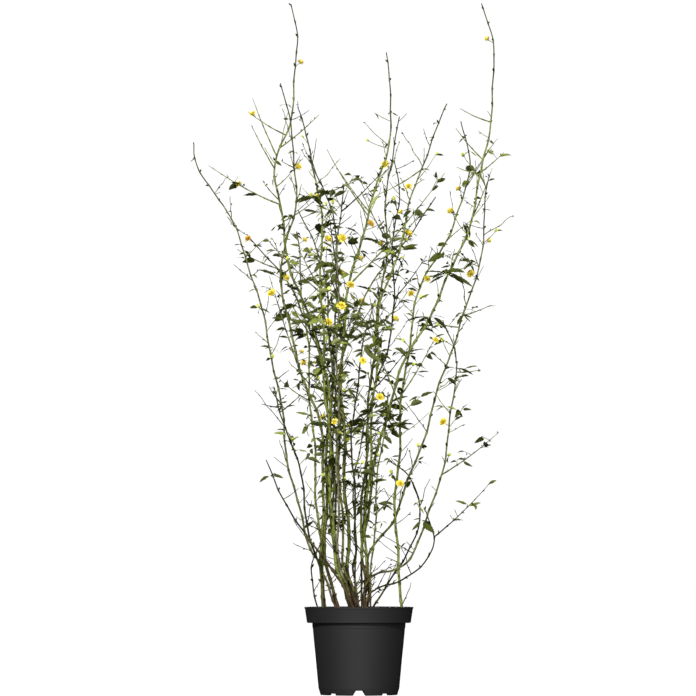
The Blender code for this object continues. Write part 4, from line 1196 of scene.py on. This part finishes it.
def make_pot(finish):
    """The pot: one turned shape with a stepped rim band, and its drain notches cut."""
    rim = RIM_DIAMETER / 2
    band_foot = RIM_BAND_FOOT_DIAMETER / 2
    body_top = BODY_TOP_DIAMETER / 2
    body_foot = BODY_FOOT_DIAMETER / 2
    foot = FOOT_DIAMETER / 2
    ring = foot - FOOT_RING_WIDTH
    band_z = POT_HEIGHT - RIM_BAND
    floor_z = BASE_HEIGHT + BASE_THICKNESS
    profile = (
        (0, BASE_HEIGHT), (ring, BASE_HEIGHT), (ring, 0), (foot, 0), (body_foot, FOOT_HEIGHT),
        (body_top - GROOVE_FOOT[0], band_z - GROOVE_FOOT[1]),
        (body_top - GROOVE_TOP[0], band_z - GROOVE_TOP[1]),
        (body_top, band_z), (band_foot - BAND_FOOT_INSET, band_z),
        *((band_foot + reach, band_z + height) for reach, height in BAND_STEPS),
        (rim - LIP_FOOT[0], POT_HEIGHT - LIP_FOOT[1]), (rim, POT_HEIGHT - LIP_EDGE),
        (rim, POT_HEIGHT - LIP_ROUND[1]), (rim - LIP_ROUND[0], POT_HEIGHT),
        (rim - WALL, POT_HEIGHT), (band_foot - WALL, band_z + WALL + INNER_STEPS[0]),
        (body_top - WALL, band_z + WALL + INNER_STEPS[1]), (body_foot - WALL, floor_z), (0, floor_z))
    piece = Piece("nursery_pot")
    piece.add(*revolve(rounded(profile, EDGE_RADIUS), POT_SIDES))
    pot = piece.make(finish, "pot_plastic", ["pot"])
    cutters = bpy.data.collections.new("notches")
    for k, notch in enumerate(NOTCHES):
        corners, faces = notch_cutter(notch, 2 * math.pi * k / len(NOTCHES) - math.pi / 2)
        mesh = bpy.data.meshes.new("notch")
        mesh.from_pydata(corners, [], faces)
        cutters.objects.link(bpy.data.objects.new("notch", mesh))
    cut = pot.modifiers.new("notches", "BOOLEAN")
    cut.operand_type = "COLLECTION"
    cut.collection = cutters
    cut.solver = "EXACT"
    made = bpy.data.meshes.new_from_object(pot.evaluated_get(bpy.context.evaluated_depsgraph_get()))
    pot.modifiers.clear()
    pot.data = made
    for tool in list(cutters.objects):
        bpy.data.objects.remove(tool, do_unlink=True)
    bpy.data.collections.remove(cutters)
    made.polygons.foreach_set("use_smooth", [True] * len(made.polygons))
    made.set_sharp_from_angle(angle=SHARP_FROM)
    return pot


def make_soil(finish):
    """Loose compost: a lumpy disc that rises a little in the middle, with a skirt at the pot's wall."""
    brim = RIM_BAND_FOOT_DIAMETER / 2 - WALL - SOIL_CLEAR
    sides = SOIL_SIDES
    corners = [(0, 0, SOIL_TOP - SOIL_MIDDLE)]
    for ring in range(1, SOIL_RINGS + 1):
        radius = brim * ring / SOIL_RINGS
        for k in range(sides):
            turn = 2 * math.pi * k / sides
            x = radius * math.cos(turn)
            y = radius * math.sin(turn)
            spot = Vector((x * LUMPS_PER_METRE, y * LUMPS_PER_METRE, LUMP_LAYER))
            lump = noise.fractal(spot, *LUMP_NOISE)
            swell = MOUND * math.exp(-(x * x + y * y) / MOUND_SPREAD)
            corners.append((x, y, SOIL_TOP - SOIL_SINK + SOIL_LUMP * lump + swell))
    for k in range(sides):
        turn = 2 * math.pi * k / sides
        corners.append((brim * math.cos(turn), brim * math.sin(turn), SOIL_TOP - SOIL_SKIRT))
    corners.append((0, 0, SOIL_TOP - SOIL_SKIRT))
    faces = [(0, 1 + k, 1 + (k + 1) % sides) for k in range(sides)]
    for ring in range(SOIL_RINGS):
        low = 1 + ring * sides
        for k in range(sides):
            after = (k + 1) % sides
            faces.append((low + k, low + sides + k, low + sides + after, low + after))
    last = 1 + SOIL_RINGS * sides
    faces += [(len(corners) - 1, last + (k + 1) % sides, last + k) for k in range(sides)]
    piece = Piece("compost")
    piece.add(np.array(corners), faces)
    piece.make(finish, "soil", ["soil"])


def make_crumbs(finish):
    """Crumbs and chips of bark that lie in the compost."""
    reach = RIM_BAND_FOOT_DIAMETER / 2 - WALL - SOIL_CLEAR - CRUMB_MARGIN
    crumbs = Piece("compost_crumbs")
    draws = random.Random("crumbs")
    block = np.array([(-1, -1, -1), (1, -1, -1), (1, 1, -1), (-1, 1, -1),
                      (-0.7, -0.6, 1), (0.8, -0.7, 0.9), (0.6, 0.8, 1), (-0.8, 0.6, 0.8)])
    faces = [(3, 2, 1, 0), (4, 5, 6, 7), (0, 1, 5, 4), (1, 2, 6, 5), (2, 3, 7, 6), (3, 0, 4, 7)]
    for _ in range(CRUMBS):
        radius = reach * math.sqrt(draws.random())
        turn = 2 * math.pi * draws.random()
        size = between(CRUMB_SIZE, draws.random() ** 2)
        shape = block * np.array([size * (1 + draws.random()), size * CRUMB_SHARE[0], size * CRUMB_SHARE[1]])
        uneven = [[CRUMB_UNEVEN * size * (draws.random() - 0.5) for _ in range(3)] for _ in block]
        turned = np.array(Matrix.Rotation(ANY_TURN * draws.random(), 3, "Z")
                          @ Matrix.Rotation(CRUMB_TILT * (draws.random() - 0.5), 3, "X"))
        spot = np.array([radius * math.cos(turn), radius * math.sin(turn), SOIL_TOP - CRUMB_SINK])
        crumbs.add((shape + np.array(uneven)) @ turned.T + spot, faces)
    crumbs.make(finish, "soil")


# Finishes
def new_group(name, inputs, outputs):
    """An empty shader node group with named sockets: (name, kind, default)."""
    group = bpy.data.node_groups.new(name, "ShaderNodeTree")
    for label, kind, default in inputs:
        socket = group.interface.new_socket(name=label, in_out="INPUT", socket_type=kind)
        socket.default_value = default
    for label, kind in outputs:
        group.interface.new_socket(name=label, in_out="OUTPUT", socket_type=kind)
    source = group.nodes.new("NodeGroupInput")
    sink = group.nodes.new("NodeGroupOutput")
    return group, source, sink


def stretched_place(group, source):
    """The place on the object, with its height scaled by the group's Stretch."""
    place_at = group.nodes.new("ShaderNodeTexCoord")
    squeeze = group.nodes.new("ShaderNodeCombineXYZ")
    squeeze.inputs["X"].default_value = 1.0
    squeeze.inputs["Y"].default_value = 1.0
    scaled = group.nodes.new("ShaderNodeVectorMath")
    scaled.operation = "MULTIPLY"
    group.links.new(source.outputs["Stretch"], squeeze.inputs["Z"])
    group.links.new(place_at.outputs["Object"], scaled.inputs[0])
    group.links.new(squeeze.outputs["Vector"], scaled.inputs[1])
    return scaled.outputs["Vector"]


def add_noise(group, place, scale, detail, roughness=0.5):
    """A noise at a place, with its scale taken from another socket."""
    speckle = group.nodes.new("ShaderNodeTexNoise")
    speckle.inputs["Detail"].default_value = detail
    speckle.inputs["Roughness"].default_value = roughness
    group.links.new(place, speckle.inputs["Vector"])
    group.links.new(scale, speckle.inputs["Scale"])
    return speckle.outputs["Fac"]


def mottle_group():
    """Uneven colour: two tones mixed by a soft noise at a given scale."""
    group, source, sink = new_group("Mottle", (
        ("Tone", "NodeSocketColor", (0.5, 0.5, 0.5, 1)),
        ("Other Tone", "NodeSocketColor", (0.3, 0.3, 0.3, 1)),
        ("Scale", "NodeSocketFloat", 60.0), ("Stretch", "NodeSocketFloat", 1.0),
        ("Contrast", "NodeSocketFloat", 3.0)), (("Color", "NodeSocketColor"),))
    place = stretched_place(group, source)
    speckle = add_noise(group, place, source.outputs["Scale"], 5.0, 0.62)
    centre = group.nodes.new("ShaderNodeMath")
    centre.operation = "SUBTRACT"
    centre.inputs[1].default_value = 0.5
    steep = group.nodes.new("ShaderNodeMath")
    steep.operation = "MULTIPLY_ADD"
    steep.use_clamp = True
    steep.inputs[2].default_value = 0.5
    mix = group.nodes.new("ShaderNodeMix")
    mix.data_type = "RGBA"
    links = group.links
    links.new(speckle, centre.inputs[0])
    links.new(centre.outputs["Value"], steep.inputs[0])
    links.new(source.outputs["Contrast"], steep.inputs[1])
    links.new(steep.outputs["Value"], mix.inputs["Factor"])
    links.new(source.outputs["Tone"], mix.inputs["A"])
    links.new(source.outputs["Other Tone"], mix.inputs["B"])
    links.new(mix.outputs["Result"], sink.inputs["Color"])
    return group


def relief_group():
    """Fine unevenness of a surface as a height, from a coarse and a fine noise."""
    group, source, sink = new_group("Fine relief", (
        ("Scale", "NodeSocketFloat", 300.0), ("Stretch", "NodeSocketFloat", 1.0),
        ("Fine Share", "NodeSocketFloat", 0.4)), (("Height", "NodeSocketFloat"),))
    place = stretched_place(group, source)
    finer = group.nodes.new("ShaderNodeMath")
    finer.operation = "MULTIPLY"
    finer.inputs[1].default_value = 4.3
    mix = group.nodes.new("ShaderNodeMix")
    links = group.links
    links.new(source.outputs["Scale"], finer.inputs[0])
    links.new(source.outputs["Fine Share"], mix.inputs["Factor"])
    links.new(add_noise(group, place, source.outputs["Scale"], 3.0), mix.inputs["A"])
    links.new(add_noise(group, place, finer.outputs["Value"], 2.0), mix.inputs["B"])
    links.new(mix.outputs["Result"], sink.inputs["Height"])
    return group


class Finishes(dict):
    """The materials of the part, each a Principled shader fed by the shared groups."""

    def __init__(self):
        super().__init__()
        self.mottle = mottle_group()
        self.relief = relief_group()

    def start(self, name, roughness, specular):
        """A new material, kept under its name, and its shader."""
        made = bpy.data.materials.new(name)
        made.use_nodes = True
        shader = made.node_tree.nodes["Principled BSDF"]
        shader.inputs["Roughness"].default_value = roughness
        shader.inputs["Metallic"].default_value = 0.0
        shader.inputs["Specular IOR Level"].default_value = specular
        self[name] = made
        return made, shader

    def add_mottle(self, made, target, tone, other, scale, stretch, contrast):
        """The material's uneven colour, linked to the target socket."""
        node = made.node_tree.nodes.new("ShaderNodeGroup")
        node.node_tree = self.mottle
        node.inputs["Tone"].default_value = (*tone, 1)
        node.inputs["Other Tone"].default_value = (*other, 1)
        node.inputs["Scale"].default_value = scale
        node.inputs["Stretch"].default_value = stretch
        node.inputs["Contrast"].default_value = contrast
        made.node_tree.links.new(node.outputs["Color"], target)

    def add_relief(self, made, shader, scale, stretch, fine_share, strength, depth):
        """The material's fine relief, as a bump of a strength and a depth."""
        tree = made.node_tree
        node = tree.nodes.new("ShaderNodeGroup")
        node.node_tree = self.relief
        node.inputs["Scale"].default_value = scale
        node.inputs["Stretch"].default_value = stretch
        node.inputs["Fine Share"].default_value = fine_share
        bump = tree.nodes.new("ShaderNodeBump")
        bump.inputs["Strength"].default_value = strength
        bump.inputs["Distance"].default_value = depth
        tree.links.new(node.outputs["Height"], bump.inputs["Height"])
        tree.links.new(bump.outputs["Normal"], shader.inputs["Normal"])

    def bark(self, name, tone, other, roughness):
        """Speckled bark, drawn out along the stem."""
        made, shader = self.start("bark_" + name, roughness, specular=0.045)
        base = shader.inputs["Base Color"]
        self.add_mottle(made, base, tone, other, scale=150.0, stretch=0.55, contrast=5.0)
        self.add_relief(made, shader, scale=420.0, stretch=0.22, fine_share=0.4, strength=0.55, depth=0.0006)

    def leaf(self, name, tone, other, under):
        """A leaf that is paler and duller beneath."""
        made, shader = self.start("leaf_" + name, roughness=0.50, specular=0.06)
        tree = made.node_tree
        sides = tree.nodes.new("ShaderNodeNewGeometry")
        mix = tree.nodes.new("ShaderNodeMix")
        mix.data_type = "RGBA"
        mix.inputs["B"].default_value = (*under, 1)
        tree.links.new(sides.outputs["Backfacing"], mix.inputs["Factor"])
        self.add_mottle(made, mix.inputs["A"], tone, other, scale=70.0, stretch=1.0, contrast=2.4)
        tree.links.new(mix.outputs["Result"], shader.inputs["Base Color"])
        self.add_relief(made, shader, scale=520.0, stretch=1.0, fine_share=0.5, strength=0.4, depth=0.0005)

    def petal(self, name, tone, other):
        """A soft petal that lets a little light through."""
        made, shader = self.start("petal_" + name, roughness=0.55, specular=0.15)
        base = shader.inputs["Base Color"]
        self.add_mottle(made, base, tone, other, scale=160.0, stretch=1.0, contrast=2.6)
        shader.inputs["Subsurface Weight"].default_value = 0.12
        shader.inputs["Subsurface Radius"].default_value = (0.004, 0.003, 0.001)
        self.add_relief(made, shader, scale=700.0, stretch=1.0, fine_share=0.5, strength=0.3, depth=0.0004)

    def plastic(self, name, tone, other):
        """Dull moulded plastic with a faint flow of tone and a fine moulded grain."""
        made, shader = self.start(name, roughness=0.72, specular=0.33)
        base = shader.inputs["Base Color"]
        self.add_mottle(made, base, tone, other, scale=22.0, stretch=0.5, contrast=1.6)
        self.add_relief(made, shader, scale=900.0, stretch=1.0, fine_share=0.5, strength=0.16, depth=0.0004)

    def earth(self, name, tone, other):
        """Loose matt compost."""
        made, shader = self.start(name, roughness=0.95, specular=0.2)
        base = shader.inputs["Base Color"]
        self.add_mottle(made, base, tone, other, scale=240.0, stretch=1.0, contrast=3.4)
        self.add_relief(made, shader, scale=600.0, stretch=1.0, fine_share=0.5, strength=0.9, depth=0.0015)


def make_finishes():
    """Every finish: its tone, the tone that mottles it, and a bark's roughness or a leaf's underside."""
    finishes = Finishes()
    finishes.bark("old_wood", (0.078, 0.054, 0.030), (0.024, 0.017, 0.010), 0.85)
    finishes.bark("young_wood", (0.112, 0.100, 0.036), (0.040, 0.038, 0.014), 0.75)
    finishes.bark("olive", (0.155, 0.160, 0.044), (0.038, 0.044, 0.010), 0.55)
    finishes.bark("green", (0.192, 0.220, 0.048), (0.060, 0.078, 0.015), 0.50)
    finishes.bark("grey", (0.190, 0.185, 0.098), (0.052, 0.052, 0.024), 0.60)
    finishes.bark("dark", (0.036, 0.036, 0.014), (0.011, 0.012, 0.004), 0.65)
    finishes.bark("tips", (0.096, 0.090, 0.044), (0.030, 0.030, 0.013), 0.62)
    finishes.leaf("deep", (0.026, 0.037, 0.005), (0.010, 0.016, 0.002), (0.052, 0.062, 0.014))
    finishes.leaf("middle", (0.066, 0.084, 0.013), (0.030, 0.043, 0.006), (0.098, 0.115, 0.032))
    finishes.leaf("fresh", (0.135, 0.166, 0.026), (0.070, 0.096, 0.014), (0.160, 0.185, 0.054))
    finishes.leaf("pale", (0.250, 0.290, 0.062), (0.150, 0.190, 0.034), (0.250, 0.280, 0.090))
    finishes.petal("gold", (0.84, 0.75, 0.12), (0.82, 0.66, 0.06))
    finishes.petal("orange", (0.86, 0.58, 0.040), (0.74, 0.42, 0.020))
    finishes.petal("lemon", (0.66, 0.68, 0.14), (0.54, 0.58, 0.09))
    finishes.petal("faded", (0.82, 0.60, 0.10), (0.66, 0.40, 0.05))
    finishes.plastic("pot_plastic", (0.0090, 0.0090, 0.0093), (0.0074, 0.0074, 0.0077))
    finishes.earth("compost", (0.034, 0.023, 0.016), (0.014, 0.010, 0.007))
    finishes.earth("compost_crumbs", (0.070, 0.045, 0.028), (0.026, 0.018, 0.012))
    return finishes


# Studio
def make_camera():
    """The camera in front of the pot, far off and a little above the ground."""
    data = bpy.data.cameras.new("camera")
    camera = bpy.data.objects.new("camera", data)
    bpy.context.scene.collection.objects.link(camera)
    bpy.context.scene.camera = camera
    reach = math.hypot(CAMERA_DISTANCE, AIM_HEIGHT - CAMERA_HEIGHT)
    data.sensor_width = SENSOR
    data.lens = SENSOR * reach / FRAME_WIDTH
    data.clip_end = SIGHT
    camera.location = AXIS + Vector((CAMERA_SIDE, -CAMERA_DISTANCE, CAMERA_HEIGHT))
    toward = AXIS + Vector((CAMERA_SIDE, 0, AIM_HEIGHT)) - camera.location
    camera.rotation_mode = "QUATERNION"
    camera.rotation_quaternion = toward.to_track_quat("-Z", "Y")


def make_lamp(name, spot, aim, size, power):
    """A round soft lamp at a spot, turned to its aim."""
    data = bpy.data.lights.new(name, "AREA")
    data.shape = "DISK"
    data.size = size
    data.energy = power
    light = bpy.data.objects.new(name, data)
    light.location = spot
    light.rotation_mode = "QUATERNION"
    light.rotation_quaternion = (Vector(aim) - Vector(spot)).to_track_quat("-Z", "Y")
    bpy.context.scene.collection.objects.link(light)


def seen_strength(tree, given, seen):
    """A strength that is one value to the camera and another as light on the part."""
    ray = tree.nodes.new("ShaderNodeLightPath")
    strength = tree.nodes.new("ShaderNodeMapRange")
    strength.inputs["To Min"].default_value = given
    strength.inputs["To Max"].default_value = seen
    tree.links.new(ray.outputs["Is Camera Ray"], strength.inputs["Value"])
    return strength.outputs["Result"]


def make_surround(scene):
    """A surround that is white to look at and gives softer light than it shows."""
    world = bpy.data.worlds.new("surround")
    scene.world = world
    world.use_nodes = True
    background = world.node_tree.nodes["Background"]
    background.inputs["Color"].default_value = (1, 1, 1, 1)
    strength = seen_strength(world.node_tree, SURROUND_LIGHT, SURROUND_SEEN)
    world.node_tree.links.new(strength, background.inputs["Strength"])


def make_studio():
    """A white floor that runs out of sight, a white surround, and soft light from the front and above."""
    scene = bpy.context.scene
    scene.view_settings.view_transform = "Standard"
    mesh = bpy.data.meshes.new("floor")
    corners = [(x * FLOOR_REACH, y * FLOOR_REACH, 0) for x, y in ((-1, -1), (1, -1), (1, 1), (-1, 1))]
    mesh.from_pydata(corners, [], [(0, 1, 2, 3)])
    floor = bpy.data.objects.new("floor", mesh)
    scene.collection.objects.link(floor)
    pale = bpy.data.materials.new("floor_paint")
    pale.use_nodes = True
    shader = pale.node_tree.nodes["Principled BSDF"]
    shader.inputs["Base Color"].default_value = (FLOOR_TONE, FLOOR_TONE, FLOOR_TONE, 1)
    shader.inputs["Roughness"].default_value = 0.9
    shader.inputs["Specular IOR Level"].default_value = 0.0
    shader.inputs["Emission Color"].default_value = (1, 1, 1, 1)
    glow = seen_strength(pale.node_tree, 0.0, FLOOR_GLOW)
    pale.node_tree.links.new(glow, shader.inputs["Emission Strength"])
    mesh.materials.append(pale)
    make_surround(scene)
    for lamp in LAMPS:
        make_lamp(*lamp)


finishes = make_finishes()
make_pot(finishes["pot_plastic"])
make_soil(finishes["compost"])
make_crumbs(finishes["compost_crumbs"])
Shrub().make(finishes)
make_camera()
make_studio()
